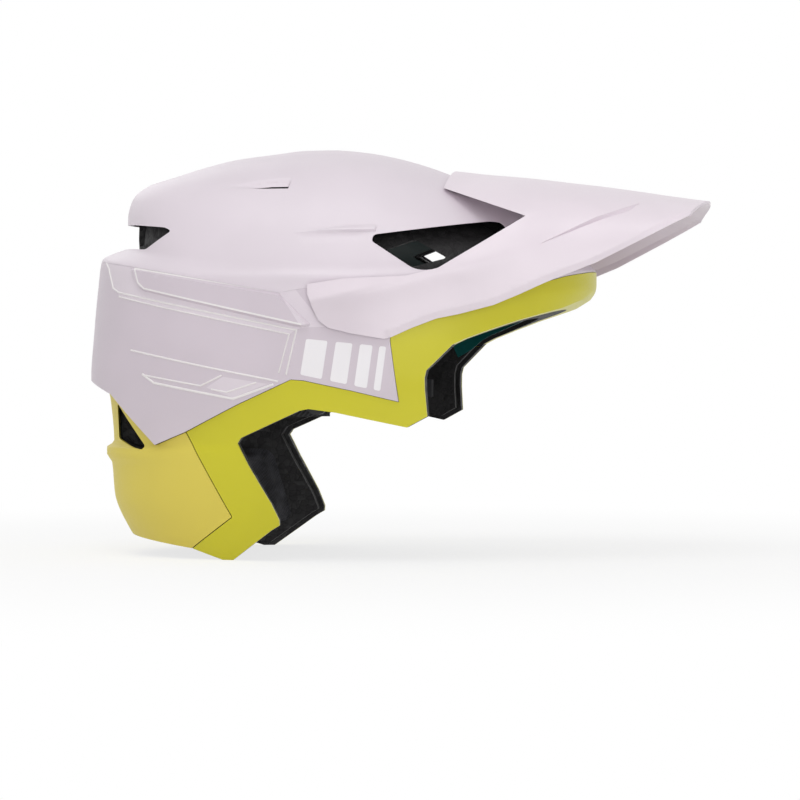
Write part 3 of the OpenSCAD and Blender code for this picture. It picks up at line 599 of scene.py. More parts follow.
# %% Walls and rounds
def ways_out(bm):
    """For each border corner, the way off the sheet along its surface, longer at corners."""
    found = {}
    for e in bm.edges:
        if e.is_boundary:
            loop = e.link_loops[0]
            start, end = loop.vert, loop.link_loop_next.vert
            way = (end.co - start.co).cross(start.normal + end.normal).normalized()
            for v in (start, end):
                found.setdefault(v, []).append((way, e.calc_length()))
    out = {}
    for v, ways in found.items():
        way = sum((w * length for w, length in ways), Vector()).normalized()
        out[v] = way / max(0.6, way.dot(max(ways, key=lambda w: w[1])[0]))
    return out


def draw_back(bm, amount):
    """Moves the border into the sheet."""
    bm.normal_update()
    for v, way in ways_out(bm).items():
        v.co -= way * amount


def give_wall(bm, thickness, edge=0.4, steps=3):
    """Gives the sheet its wall, inwards, with a rounded edge that ends where the border was.
    The thickness may be a function of the place."""
    wall = thickness if callable(thickness) else lambda co: thickness
    draw_back(bm, edge)
    bm.normal_update()
    outer, faces = list(bm.verts), list(bm.faces)
    ways, rim = ways_out(bm), [e for e in bm.edges if e.is_boundary]
    copied = bmesh.ops.duplicate(bm, geom=faces + list(bm.edges) + outer)["vert_map"]
    for v in outer:
        copied[v].co = v.co - v.normal * wall(v.co)
    bmesh.ops.reverse_faces(bm, faces=list({f for v in outer for f in copied[v].link_faces}))
    quarter = [math.pi / 2 * (i + 1) / steps for i in range(steps)]
    profile = [(edge * math.sin(a), 0, edge * (1 - math.cos(a))) for a in quarter]
    profile += [(edge * math.cos(a), 1, edge * (math.sin(a) - 1)) for a in [0] + quarter]
    start = {v: (v.co.copy(), v.normal.copy(), way) for v, way in ways.items()}
    for out, share, down in profile:
        grown = bmesh.ops.extrude_edge_only(bm, edges=rim)["geom"]
        rim = [g for g in grown if isinstance(g, bmesh.types.BMEdge)]
        moved = {}
        for v in (g for g in grown if isinstance(g, bmesh.types.BMVert)):
            source = next(w for e in v.link_edges for w in (e.other_vert(v),) if w in start)
            moved[v] = start[source]
        for v, (co, normal, way) in moved.items():
            v.co = co + way * out - normal * (share * wall(co) + down)
        start = moved
    bmesh.ops.remove_doubles(bm, verts=list(start) + [copied[v] for v in ways], dist=0.001)
    bmesh.ops.recalc_face_normals(bm, faces=bm.faces)


trial = sheet(4, 4, lambda u, v: Vector((9 * u, 9 * v, 0)))
give_wall(trial, 2)
print("a flat sheet of 16 faces has", len(trial.faces), "with its wall")
trial.free()

# %% [markdown]
# Every finished mesh goes the same way: it is cleaned, scaled to metres, smoothed up to an angle that keeps
# its creases, and tied to the body that it moves with, while the frame's solid that it stands for is
# hidden.

# %% Pieces
SMOOTH_ANGLE = math.radians(40)
CRUMB = 3


def drop_crumbs(bm):
    """Clears the dust of cutting: collapsed edges, and islands of less than CRUMB mm2."""
    bmesh.ops.dissolve_degenerate(bm, dist=0.01, edges=bm.edges)
    left = set(bm.faces)
    crumbs = []
    while left:
        island = [left.pop()]
        for face in island:
            near = {other for edge in face.edges for other in edge.link_faces} & left
            left -= near
            island.extend(near)
        if sum(face.calc_area() for face in island) < CRUMB:
            crumbs.extend(island)
    bmesh.ops.delete(bm, geom=crumbs, context="FACES")


def piece_from(bm, name, body, material, replaced=(), smooth=SMOOTH_ANGLE):
    """Makes the mesh an object in metres that rides on a body."""
    drop_crumbs(bm)
    bmesh.ops.scale(bm, verts=bm.verts, vec=(MM, MM, MM))
    mesh = bpy.data.meshes.new(name)
    bm.to_mesh(mesh)
    bm.free()
    mesh.shade_smooth()
    mesh.set_sharp_from_angle(angle=smooth)
    mesh.materials.append(material)
    piece = bpy.data.objects.new(name, mesh)
    scene.collection.objects.link(piece)
    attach(piece, body)
    if replaced:
        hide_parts(*replaced)
    print(name, "has", len(mesh.polygons), "faces")
    return piece


# %% [markdown]
# The hard shells and the foam are cut as solids. A closed outer form less a closed inner one is
# a wall, and prisms drawn in the side view cut its seams and vents. The manifold solver is fast
# and leaves clean edges, but it refuses an open shape, so every form is closed first.

# %% Cutting solids
WIDE = 150
SHELL_T = 2
VIEWS = {"side": (0, 2), "front": (1, 2), "top": (0, 1)}


def carve(bm, cutter, operation="DIFFERENCE"):
    """Takes one closed shape from another with a Boolean, and frees both."""
    pair = []
    for shape in (bm, cutter):
        bmesh.ops.recalc_face_normals(shape, faces=shape.faces)
        mesh = bpy.data.meshes.new("carving")
        shape.to_mesh(mesh)
        shape.free()
        pair.append(bpy.data.objects.new("carving", mesh))
        scene.collection.objects.link(pair[-1])
    modifier = pair[0].modifiers.new("carve", "BOOLEAN")
    modifier.operation = operation
    modifier.solver = "MANIFOLD"
    modifier.object = pair[1]
    out = bmesh.new()
    out.from_object(pair[0], bpy.context.evaluated_depsgraph_get())
    for piece in pair:
        bpy.data.meshes.remove(piece.data)
    return out


def closed_body(rows, deep):
    """The shell's form as a solid, or one that lies deep inside it."""
    rows = [r for r in rows if min(r[2], r[1] - MID_X, MID_X - r[0]) > deep + 1.5 or deep < 0]
    bm = body_sheet(rows, deep)
    bmesh.ops.holes_fill(bm, edges=[e for e in bm.edges if e.is_boundary])
    return bm


def prism(outline, low, high, view="side"):
    """A closed solid with that outline in a view, from one depth to another."""
    a, b = VIEWS[view]
    c = 3 - a - b
    bm = bmesh.new()
    ring = []
    for point in outline:
        co = Vector()
        co[a], co[b], co[c] = point[0], point[1], low
        ring.append(bm.verts.new(co))
    face = bm.faces.new(ring)
    away = Vector()
    away[c] = high - low
    grown = bmesh.ops.extrude_face_region(bm, geom=[face], use_keep_orig=True)["geom"]
    bmesh.ops.translate(bm, verts=[g for g in grown if isinstance(g, bmesh.types.BMVert)], vec=away)
    bmesh.ops.recalc_face_normals(bm, faces=bm.faces)
    return bm


def block(lo, hi):
    """A box from its lowest to its highest corner."""
    return prism(oblong(lo[0], lo[2], hi[0], hi[2]), lo[1], hi[1])


def through(outline):
    """A prism that cuts through the whole helmet from side to side."""
    return prism(outline, -WIDE, WIDE)


def joined(*shapes):
    """Several closed shapes as one cutter."""
    out = bmesh.new()
    for shape in shapes:
        mesh = bpy.data.meshes.new("joining")
        shape.to_mesh(mesh)
        shape.free()
        out.from_mesh(mesh)
        bpy.data.meshes.remove(mesh)
    return out


def both_ways(outline, low, high):
    """The same prism on the left and on the right."""
    return joined(prism(outline, low, high), prism(outline, -high, -low))


def wall(outer, rows, kept, taken):
    """The wall inside a closed outer form, within one outline of the side view, less cutters."""
    bm = carve(outer, closed_body(rows, SHELL_T))
    bm = carve(bm, through(kept), "INTERSECT")
    for cutter in taken:
        bm = carve(bm, cutter)
    return bm


print("a closed shell has", len(closed_body(belt_rows, 0).faces), "faces")

# %% [markdown]
# The seams are drawn once in the side view and shared by the shells on both sides of them, so
# that neighbours can't overlap. Half the seam is then taken off each of them.

# %% Outlines in the side view
PARTING = [(-150, 23.5), (-109, 18), (-21, 3), (-6, 5.5), (12, 6.5), (48, 7)]
BROW_TOP = [(70, 6.5), (95, 5.5), (110, 6.5), (119, 9), (130, 12.5), (145, 16), (160, 17)]
BELT_FOOT = [(43, -56), (18, -50), (-8, -44.5), (-15, -44), (-46, -58), (-76, -73), (-95, -80.5),
             (-118, -58), (-123, -53), (-140, -46), (-150, -46)]
RIM = [(150, 8), (144, 7), (141, 3), (138, 0), (128, -5), (105, -12), (91, -17), (78, -22), (72, -25),
       (67, -30), (58, -39), (57, -43), (57, -50), (58, -64), (47, -70), (9, -62), (-6, -60), (-11, -61),
       (-22, -66), (-44, -76), (-46, -79), (-40, -91), (-28, -112), (-24, -121), (-24, -124), (-29, -127),
       (-52, -144), (-58, -144), (-67, -141), (-76, -138), (-122, -132), (-140, -124), (-160, -116)]
EAR_SEAM = [(-76, -73), (-70, -84), (-51, -119), (-51, -120), (-76, -138)]
crown_region = [(-150, 100)] + PARTING + BROW_TOP + [(160, 100)]
belt_region = PARTING[:5] + [(40, 7), (39, -23)] + BELT_FOOT
under_rim = RIM + [(-160, -200), (200, -200), (200, 8)]
neck_region = [(-160, -50), (-125, -50), (-112, -65), (-95, -80.5)] + EAR_SEAM + [(-76, -160), (-160, -160)]
SIDE_VENT = [(28, 31), (29, 34.5), (89, 42.5), (94, 42), (98, 38.5), (64, 16), (57, 15), (51, 16)]
EXHAUST = [(-140, 29.5), (-110, 28), (-103, 27.5), (-100, 29), (-86, 37.5), (-90, 39.5), (-111, 41.5),
           (-140, 43.5)]
NECK_WINDOW = [(-122, -58), (-102, -81.5), (-104, -83.5), (-110, -82.5), (-122, -78)]
SEAM = 0.5
TIGHT_SEAM = 0.06
print("points along the rim:", len(RIM))

# %% [markdown]
# The shells are painted or moulded plastic: satin lilac, its slightly pinker twin on the visor,
# the greyer lilac of the belt, bright lime and the duller lime of the neck panel. A picture
# could be laid on them, but noise on Object coordinates has no seams and suits any shape.

# %% Finishes of the shells
MOTTLED = 0.985
MOTTLE_SCALE, PEEL_SCALE = 0.02, 0.9
PEEL_DEEP = 0.05
# The visor's arms are painted darker below their crease, a painted shade that fades towards the front: the
# line's start and rise, its softness, and where it fades.
ARM_SHADE_LINE = (-0.7, 0.223)
ARM_SHADE_SOFT = 1.5
ARM_SHADE_FADES = (12, 46)


def painted(name, colour, roughness, coat=0.0, shade=None):
    """Moulded shell paint: faint mottling in the colour and a fine orange peel. The last argument, when
    given, is a painted shade: a darker second colour and the mask of where it lies."""
    shader = Shader(name, colour, roughness, Coat_Weight=coat, Coat_Roughness=0.25)
    at = shader.place()
    soft = shader.noise(at, MOTTLE_SCALE)
    grain = shader.noise(at, PEEL_SCALE)
    deep = [c * MOTTLED for c in colour]
    paint_colour = shader.mix(shader.ramp(soft, 0.35, 0.65), deep, colour)
    if shade:
        paint_colour = shader.mix(shade[1](shader), paint_colour, shade[0])
    shader.feed("Base Color", paint_colour)
    shader.feed("Roughness", shader.ramp(grain, 0.3, 0.7, roughness - 0.05, roughness + 0.06))
    shader.bump(grain, PEEL_DEEP, 0.35)
    return shader


lilac = painted("lilac_satin", (221, 211, 219), 0.42)
lilac_belt = painted("lilac_belt", (209, 198, 207), 0.4)
lilac_line = painted("lilac_line", (234, 230, 230), 0.4)
bar_white = painted("bar_white", (240, 237, 240), 0.38)


def painted_shade_under_arm(shader):
    """Painted shade on the visor's arms: 1 below their crease, fading where the arms become the roof."""
    x, _, z = shader.axes()
    start, rise = ARM_SHADE_LINE
    below = shader.ramp(z - x * rise, start - ARM_SHADE_SOFT, start + ARM_SHADE_SOFT, 1, 0)
    return below * shader.ramp(x, *ARM_SHADE_FADES, 1, 0)


# The visor's paint, with painted shade below the crease of its arms.
lilac_visor = painted("lilac_visor", (229, 218, 226), 0.4, 0, ((215, 204, 212), painted_shade_under_arm))
lime = painted("lime_gloss", (203, 196, 26), 0.4, 0.06)
moss = painted("lime_matt", (219, 201, 82), 0.5)
print("finishes:", [paint.material.name for paint in (lilac, lilac_visor, lilac_belt, lime, moss)])

# %% [markdown]
# The crown shell is the dome. It carries a vent on each side, a slot across the back, a slit
# each side of the top at the foot of a sunk ramp, two intakes under the visor, and the slot
# that the visor's keel runs in. The relief goes on first, while the form is still whole.

# %% Crown shell
TOP_SLIT = [(-41, 60.5), (-20.6, 60.5), (-20.6, 61.5), (-30, 61.4)]
TOP_RAMP = [(-66, 61.2), (-38, 60.4), (-20.5, 60.4), (-19, 66.8), (-32, 66), (-50, 63.6)]
RAMP_DEEP, RAMP_SLOPE = -2.6, 1.6
RAMP_GROWS = (-64, 42, 68, 6)
CROWN_LIP = [(-16, 35.6), (10, 35.9), (30, 36), (31, 40), (10, 39)]
LIP_HIGH, LIP_SLOPE = 1.2, 0.8
LIP_GROWS = (-16, 30, 40.5, 3)
CROWN_FOLDS = [([(-14, 33.4), (10, 34.4), (29, 34.8)], -0.9, 1.6),
               ([(-40, 14), (-18, 13), (18, 11.8), (76, 14)], 0.7, 3)]
INTAKE = oblong(22, 30, 42, 40)
KEEL_SLOT = oblong(-2.4, 46, 2.4, 86)


def beside(low, high=WIDE):
    """A test for places that lie between low and high off the middle plane."""
    return lambda co: low < abs(co.y) < high


def grows(back, run, head, fall):
    """A share of the relief that grows from the back forwards and from the head down."""
    return lambda co: limited((co.x - back) / run) * limited((head - co.z) / fall)


def crown_shell():
    bm = closed_body(belt_rows, 0)
    emboss(bm, TOP_RAMP, RAMP_DEEP, RAMP_SLOPE, beside(45, 90), grows(*RAMP_GROWS))
    emboss(bm, CROWN_LIP, LIP_HIGH, LIP_SLOPE, beside(40), grows(*LIP_GROWS))
    for outline, height, width in CROWN_FOLDS:
        fold(bm, outline, height, width, beside(40))
    intakes = [prism(rounded([(side * y, z) for y, z in INTAKE], 3), 60, 180, "front") for side in (-1, 1)]
    bm = wall(bm, belt_rows, shrunk(crown_region, TIGHT_SEAM / 2), [
        both_ways(rounded(SIDE_VENT, 4, 8), 40, WIDE), through(rounded(EXHAUST, 3, 8)),
        both_ways(rounded(TOP_SLIT, 0.8), 45, 90), joined(*intakes),
        prism(rounded(KEEL_SLOT, 1), 40, 180, "front")])
    return piece_from(bm, "shell_crown", "helmet", lilac.material, ["crown_shell"])


crown_shell()

# %% [markdown]
# The belt shell wraps the sides and the back. Its trim is thin raised lines, a wedge that stands out, and
# plain pale bars, and the bevel at the wedge's front end is painted a paler lilac as a painted highlight.
# The trim's outlines are scribed into the form, so that each finish gets whole faces with true edges. A
# painted mask would blur there.

# %% Belt shell
WEDGE = [(-109, 17.5), (-21, 2.6), (-3, -15), (-9, -16), (-101, 4.5), (-105, 9)]
# The bevel at the wedge's front end, painted in the paler lilac as a painted highlight.
WEDGE_END_HIGHLIGHT = [(-21, 3.5), (-13, 6), (4, -15.5), (-8.5, -15.8)]
LINE_BAND = [(-117.5, 3.8), (-92, -1.3), (-12.5, -17.2), (-15, -19.4), (-92, -4), (-117.3, 1.4)]
REAR_BAND = [(-128, 20.2), (-109.5, 17.4), (-105.4, 9.2), (-101.2, 4.4), (-9, -16.2), (-12, -17),
             (-92, -1.1), (-117.5, 4), (-121.3, 6.2), (-125.3, 17)]
LOW_FILL = [(-62.5, -48.6), (-53, -42.6), (-28, -46.4), (-47.4, -53.9)]
LINES = [
    ([(-128.5, 20.5), (-125.5, 17), (-121.5, 6), (-117.5, 3.8), (-92, -1.3), (-11.5, -17.2),
      (-17.5, -41.5)], 1),
    ([(-117.3, 1.4), (-92, -4), (-15.5, -19.4), (-21.5, -40.5)], 0.8),
    ([(-108.7, -28.2), (-61, -37.6), (-22, -45)], 1),
    ([(-101.3, -41.3), (-94, -46.2), (-47.4, -54.6), (-24.5, -46.6)], 1.3),
    ([(-100, -42), (-66, -47.6), (-53.5, -41.8)], 0.9),
    ([(-60, -49.4), (-51, -51), (-34, -45.6)], 0.8)]
WEDGE_RIM = [(-20.5, 3.3), (-106, 16.8), (-103.5, 9), (-99.5, 5.6), (-8.4, -14.2)]
BAR_TOP = ((-8, -21.8), (37, -26.2))
BAR_FOOT = ((-11.5, -41), (33.5, -50.2))
BARS = [(0.04, 0.3), (0.4, 0.6), (0.69, 0.84), (0.92, 1)]
WEDGE_HIGH, WEDGE_SLOPE = 2.2, 1.3
LINE_HIGH, LINE_SLOPE = 0.4, 0.3
BUSH_HOLE = 9.4
PIVOT = (15, -5)


def between(line, share):
    return tuple(Vector(line[0]).lerp(Vector(line[1]), share))


def faces_in(bm, outline):
    return [f for f in bm.faces if inside(outline, seen_from_side(f.calc_center_median()))]


def belt_shell():
    bm = closed_body(belt_rows, 0)
    emboss(bm, rounded(WEDGE, 2), WEDGE_HIGH, WEDGE_SLOPE)
    strokes = [stroke(line, width) for line, width in LINES]
    bars = []
    for start, end in BARS:
        corners = [between(BAR_TOP, start), between(BAR_TOP, end), between(BAR_FOOT, end),
                   between(BAR_FOOT, start)]
        bars.append(rounded(corners, 1.2))
    # Index 3, the paler lilac, is print on the bands and the fill, and painted highlight on the wedge's
    # end.
    trim = [*((outline, 3) for outline in (LINE_BAND, REAR_BAND, LOW_FILL, WEDGE_END_HIGHLIGHT)),
            *((line, 1) for line in strokes), (stroke(WEDGE_RIM, 0.9), 1), *((bar, 2) for bar in bars)]
    for outline, index in trim:
        scribe(bm, outline)
    for line in strokes:
        emboss(bm, line, LINE_HIGH, LINE_SLOPE)
    bm = wall(bm, belt_rows, shrunk(belt_region, TIGHT_SEAM / 2), [
        through(shrunk(crown_region, -TIGHT_SEAM / 2)),
        both_ways(circle(BUSH_HOLE, PIVOT), 40, WIDE)])
    for outline, index in trim:
        for face in faces_in(bm, outline):
            face.material_index = index
    piece = piece_from(bm, "shell_belt", "helmet", lilac_belt.material, ["belt_shell"])
    for finish in (lilac_line, bar_white, lilac):
        piece.data.materials.append(finish.material)
    return piece


belt_shell()

# %% [markdown]
# The lower shell is the brow, the cheeks and the front of the ear covers in one moulding, and
# the neck shell closes the back. The brow's edge turns in under the foam. That edge is a ring
# of its own, joined to the shell and cut out of the foam, because bending the shell's border
# inwards would tear at its corners.

# %% Lower shell and neck shell
BROW_EDGE_T = 1.3
BROW_EDGE_DEEP = 12
BROW_EDGE_FROM = (66, -28)
BROW_EDGE_ROOM = 0.2
LOWER_FRONT = [(-76.2, -60), (-76.2, -160), (170, -160), (170, 40), (30, 40)]


def grown(outline):
    """A neighbour's region with half the seam round it, as a cutter."""
    return through(shrunk(outline, -SEAM / 2))


def brow_edge(spare=0):
    """The turned-in edge under the brow, with spare room round it where the foam is cut."""
    brow = [p for p in RIM if p[0] > BROW_EDGE_FROM[0] and p[1] > BROW_EDGE_FROM[1]]
    up = BROW_EDGE_T + spare
    band = [(x, z - 0.01) for x, z in brow] + [(x - up * 0.5, z + up) for x, z in brow[::-1]]
    ring = carve(closed_body(neck_rows, BROW_EDGE_ROOM), closed_body(neck_rows, BROW_EDGE_DEEP + spare))
    return carve(ring, through(band), "INTERSECT")


def lower_shell():
    bm = wall(closed_body(neck_rows, 0), neck_rows, LOWER_FRONT, [
        grown(belt_region), grown(crown_region), grown(neck_region), through(under_rim)])
    bm = carve(bm, brow_edge(), "UNION")
    return piece_from(bm, "shell_lower", "helmet", lime.material, ["lower_shell"])


def neck_shell():
    bm = wall(closed_body(neck_rows, 0), neck_rows, shrunk(neck_region, SEAM / 2), [
        grown([p for p in belt_region if p[0] > -112]), through(under_rim),
        both_ways(rounded(NECK_WINDOW, 2), 35, WIDE)])
    return piece_from(bm, "shell_neck", "helmet", moss.material, ["neck_shell"])


lower_shell()
neck_shell()

# %% [markdown]
# The visor is one moulding: a long roof with a tongue over the dome, and an arm down each side
# to the pivots. Its cross sections are rounded arches, so one sheet makes roof and arms. Two
# arms fused to a plate would be easier, but a seam would show where the moulding has none.

# %% Form of the visor
ARM_GAP = 0.8
VISOR_T = 2.6
ARM_WIDENS = 0.04
VISOR_ROWS = [
    (-10, 0, 20, 74, 1.8), (15, 0, 20, 74, 1.8), (40, 0, 18, 73.8, 1.8), (52, 0, 17, 73.4, 1.8),
    (65, 98.6, 14, 72.6, 1.8), (80, 96.8, 10, 70.8, 1.95), (95, 95, 6, 69.3, 2.3), (111, 93, 4, 67.6, 2.7),
    (130, 89.5, 8, 65.3, 2.6), (150, 85.8, 16, 62.9, 2.5), (168, 82.2, 22, 60.4, 2.4),
    (185, 78.6, 29, 57.8, 2.3), (198, 76, 33, 56, 2.2), (209, 74, 35, 54.6, 2.1)]
ARM_FOOT = -26
ARM_SHARE = 0.14
BELT_FRONT, BELT_BACK, BELT_HALF = 148, 134.8, 101


def shell_half(x):
    reach = BELT_FRONT if x > MID_X else BELT_BACK
    return BELT_HALF * (1 - (abs(x - MID_X) / reach) ** SHELL_N) ** (1 / SHELL_N)


def visor_half(row):
    x, half = row[:2]
    return half or shell_half(x) + ARM_GAP + max(0, x - PIVOT[0] - 15) * ARM_WIDENS + VISOR_T


def visor_point(u, x):
    xs = [row[0] for row in VISOR_ROWS]
    half = along(xs, [visor_half(row) for row in VISOR_ROWS], x)
    low, top, n = (along(xs, [row[k] for row in VISOR_ROWS], x) for k in (2, 3, 4))
    side = -1 if u < 0.5 else 1
    share = min(u, 1 - u)
    if share < ARM_SHARE:
        return Vector((x, side * half, ARM_FOOT + (low - ARM_FOOT) * share / ARM_SHARE))
    f = math.pi / 2 * (share - ARM_SHARE) / (0.5 - ARM_SHARE)
    return Vector((x, side * half * bend(math.cos(f), n), low + (top - low) * bend(math.sin(f), n)))


print("visor's half width over the pivots:", round(visor_half(VISOR_ROWS[1]), 1), "mm")

# %% [markdown]
# The visor's sides carry a bevel along the lower edge, a crease along the arm, and a groove
# under the roof that stiffens it. The lines of the relief are scribed first, so that its edges
# are true. The roof is left plain, so the relief is kept to the arms.

# %% Relief of the visor
VISOR_EDGE = [(40, -21), (51, -16), (64, -11), (76, -8.6), (94.6, -3.7), (108.7, 2.2), (121.7, 8.2),
              (149.4, 19.3), (177.5, 33.8), (198.6, 45), (208, 50)]
VISOR_GROOVE = [(117.9, 28.4), (148.8, 41.3), (165.6, 47.2), (172, 52.4), (148.4, 43.9)]
VISOR_FOLD = [(104, 42), (111, 44.6), (136, 53.5), (150, 58)]
ARM_CREASE = [(-6, -2), (30, 3), (64.6, 12.3), (88, 19), (118, 28.4)]
VISOR_FOLDS = [(VISOR_FOLD, 0.7, 3), (ARM_CREASE, 1.1, 6)]
GROOVE_DEEP, GROOVE_SLOPE = -2.2, 0.9
EDGE_HIGH, EDGE_IN, EDGE_FROM = 3.6, 1.5, 36
ARM_TILT = 0.06
ARM_FLAT_FROM = 118
ARM_BLEND = 40


def height_over(line, point):
    """How far a point is above a line that runs from back to front."""
    xs, zs = zip(*line)
    return point[1] - along(xs, zs, min(max(point[0], xs[0]), xs[-1]))


arms = beside(30)


def visor_relief(bm):
    """The bevel along the lower edge, the crease along the arm and the groove under the roof."""
    scribe(bm, [(x, z + EDGE_HIGH) for x, z in VISOR_EDGE], arms, closed=False)
    scribe(bm, ARM_CREASE, arms, closed=False)
    for v in bm.verts:
        if not arms(v.co):
            continue
        point = seen_from_side(v.co)
        inwards = 0
        if point[0] > EDGE_FROM:
            inwards += EDGE_IN * limited((EDGE_HIGH - height_over(VISOR_EDGE, point)) / EDGE_HIGH)
        if point[0] < ARM_FLAT_FROM:
            fade = min(1, (ARM_FLAT_FROM - point[0]) / ARM_BLEND)
            inwards += ARM_TILT * fade * max(0, -height_over(ARM_CREASE, point))
        v.co.y -= math.copysign(inwards, v.co.y)
    emboss(bm, VISOR_GROOVE, GROOVE_DEEP, GROOVE_SLOPE, arms)
    for line, height, width in VISOR_FOLDS:
        fold(bm, line, height, width, arms)


print("relief of the visor: 2 scribed lines, 1 groove and", len(VISOR_FOLDS), "folds")

# %% [markdown]
# Relief and wall come first, and then the side view cuts the notch over the vents and the top
# view bows the front edge. The shell is taken away at several angles of tilt, so that the arms
# clear it wherever they stand. One cut at rest would let them run into the shell when they tilt.

# %% Cut the visor
VISOR_SIDE = [(66, 90), (63, 61), (111, 44.5), (65, 16), (48, 12), (14, 10.5), (-5, 7.5), (-5, 2),
              (-2, -6), (1, -12), (6, -16), (18, -19), (36, -22), *VISOR_EDGE[:-1], (204, 44), (215, 44),
              (215, 90)]
THINS_FROM, THINS_OVER, THINNER = 120, 60, 1.1
VISOR_REACH = 207
VISOR_BOW, VISOR_BOW_N = 11, 2.4
VISOR_TIP = 72
VISOR_WIDE = 111
VISOR_GRID = (200, 100)
DOME_GAP = 0.7
VISOR_STOPS = (0, 6, 12, 18)


def visor_wall(co):
    """The visor thins towards its front."""
    return VISOR_T - THINNER * limited((co.x - THINS_FROM) / THINS_OVER)


def visor():
    first, last = VISOR_ROWS[0][0], VISOR_ROWS[-1][0]
    bm = sheet(*VISOR_GRID, lambda u, v: visor_point(u, first + (last - first) * v))
    outwards(bm, Vector((80, 0, 10)))
    visor_relief(bm)
    give_wall(bm, visor_wall, 0.2)
    front = [(VISOR_REACH - VISOR_BOW * (min(abs(y), VISOR_TIP) / VISOR_TIP) ** VISOR_BOW_N, y)
             for y in range(-VISOR_WIDE, VISOR_WIDE + 1, 3)]
    bow = [(-30, -VISOR_WIDE), *front, (-30, VISOR_WIDE)]
    bm = carve(bm, through(VISOR_SIDE), "INTERSECT")
    bm = carve(bm, prism(bow, -60, 120, "top"), "INTERSECT")
    for tilt in VISOR_STOPS:
        dome = closed_body(belt_rows, -DOME_GAP)
        bmesh.ops.rotate(dome, verts=dome.verts, cent=(PIVOT[0], 0, PIVOT[1]),
                         matrix=Matrix.Rotation(math.radians(tilt), 3, "Y"))
        bm = carve(bm, dome)
    return piece_from(bm, "visor_shell", "visor", lilac_visor.material, ["visor"])


visor()

# %% [markdown]
# Inside is room for a head. The cavity is a dome on a sleeve, both superellipses, so the same two
# lines give any point of its wall at any depth, and the foam, the slip liner, the pads and the
# straps all lie on it. A scanned head would be truer, but every piece would need its own fit.

# %% Head cavity
CAVITY_L, CAVITY_W, CAVITY_H = 105, 82, 58
CAVITY_X = -3
DOME_N = 2.4
SLEEVE_Z = (-170, -150, -130, -110, -90, -60, -40, 0)
SLEEVE_L = (0.88, 0.91, 0.94, 0.985, 1, 1, 1, 1)
SLEEVE_W = (0.73, 0.78, 0.83, 0.895, 0.927, 0.97, 0.995, 1)


def cavity_point(turn, z, deep=0):
    """A point of the cavity's wall at a height, turned from the front towards the left, and
    moved into the cavity by deep."""
    dome = max(0, 1 - (max(0, z) / (CAVITY_H - deep)) ** DOME_N) ** (1 / DOME_N)
    length = (CAVITY_L * along(SLEEVE_Z, SLEEVE_L, z) - deep) * dome
    width = (CAVITY_W * along(SLEEVE_Z, SLEEVE_W, z) - deep) * dome
    c, s = bend(math.cos(turn), SHELL_N), bend(math.sin(turn), SHELL_N)
    return Vector((CAVITY_X + length * c, width * s, z))


def cavity_side(x, z, deep=0):
    """The point of the left wall at a place in the side view."""
    reach = CAVITY_L * along(SLEEVE_Z, SLEEVE_L, z) - deep
    share = max(0, 1 - abs((x - CAVITY_X) / reach) ** SHELL_N) ** (1 / SHELL_N)
    return Vector((x, (CAVITY_W * along(SLEEVE_Z, SLEEVE_W, z) - deep) * share, z))


def cavity_top(x, y, deep=0):
    """The point of the dome over a place in the top view."""
    a, b = abs(x - CAVITY_X) / (CAVITY_L - deep), abs(y) / (CAVITY_W - deep)
    r = (a ** SHELL_N + b ** SHELL_N) ** (1 / SHELL_N)
    return Vector((x, y, (CAVITY_H - deep) * max(0, 1 - r ** DOME_N) ** (1 / DOME_N)))


def cavity_sheet(deep, foot, around=240, dome_rows=44):
    """The cavity's wall as an open bell, from its foot to the top of the dome."""
    sleeve_rows = math.ceil(-foot / 2.5)

    def place(u, v):
        row = round(v * (dome_rows + sleeve_rows))
        if row <= sleeve_rows:
            return cavity_point(2 * math.pi * u, foot * (1 - row / sleeve_rows), deep)
        rise = bend(math.sin(math.pi / 2 * (row - sleeve_rows) / dome_rows), DOME_N)
        return cavity_point(2 * math.pi * u, (CAVITY_H - deep) * rise, deep)
    return sheet(around, dome_rows + sleeve_rows, place)


def cavity_body(deep, foot=-165):
    """The cavity as a solid."""
    bm = cavity_sheet(deep, foot)
    bmesh.ops.holes_fill(bm, edges=[e for e in bm.edges if e.is_boundary])
    return bm


print("cavity:", 2 * CAVITY_L, "by", 2 * CAVITY_W, "by", CAVITY_H, "mm")

# %% [markdown]
# The foam is what saves the head: beads of plastic pressed into a block, with channels that lead
# air from the intakes to the back. It fills the room between shell and cavity, so it is carved
# as one solid, with every duct and pocket as a cutter, and then parted into its two mouldings.

# %% Foam
FOAM_GAP = 0.3
VENT_PORT = [(33, 26), (49.5, 17), (67.5, 22), (50, 32)]
LANE = 32
LANES = (-LANE, 0, LANE)
CHANNEL = 20
CHANNEL_DEEP = 9
CHANNEL_END = 0.985 * CAVITY_L
CHANNEL_STEPS = 16
CHANNEL_FOOT = 14
DUCT = (60, 11, 29, 180, 41)
EXHAUST_PORT = (30, 42)
SOCKET_NOTCH = ((14.2, 79.4, -100), (35.8, 104.4, -45.7))
DIAL_POCKET = ((-125, -24, -68), (-92, 24, -14))
KEEL_SWEEP = (80.7, 135, 27.2, 63.8)
KEEL_ROOM = 6.8
LINER_SPLIT = -26.5
RIM_STEP = 2.5


def sector(low, high, start, end, count=12):
    """An outline between two radii and two angles round the visor's pivot."""
    turns = [math.radians(start + (end - start) * i / count) for i in range(count + 1)]
    polar = [(r, t) for r, run in ((low, turns), (high, turns[::-1])) for t in run]
    return [(PIVOT[0] + r * math.cos(t), PIVOT[1] + r * math.sin(t)) for r, t in polar]


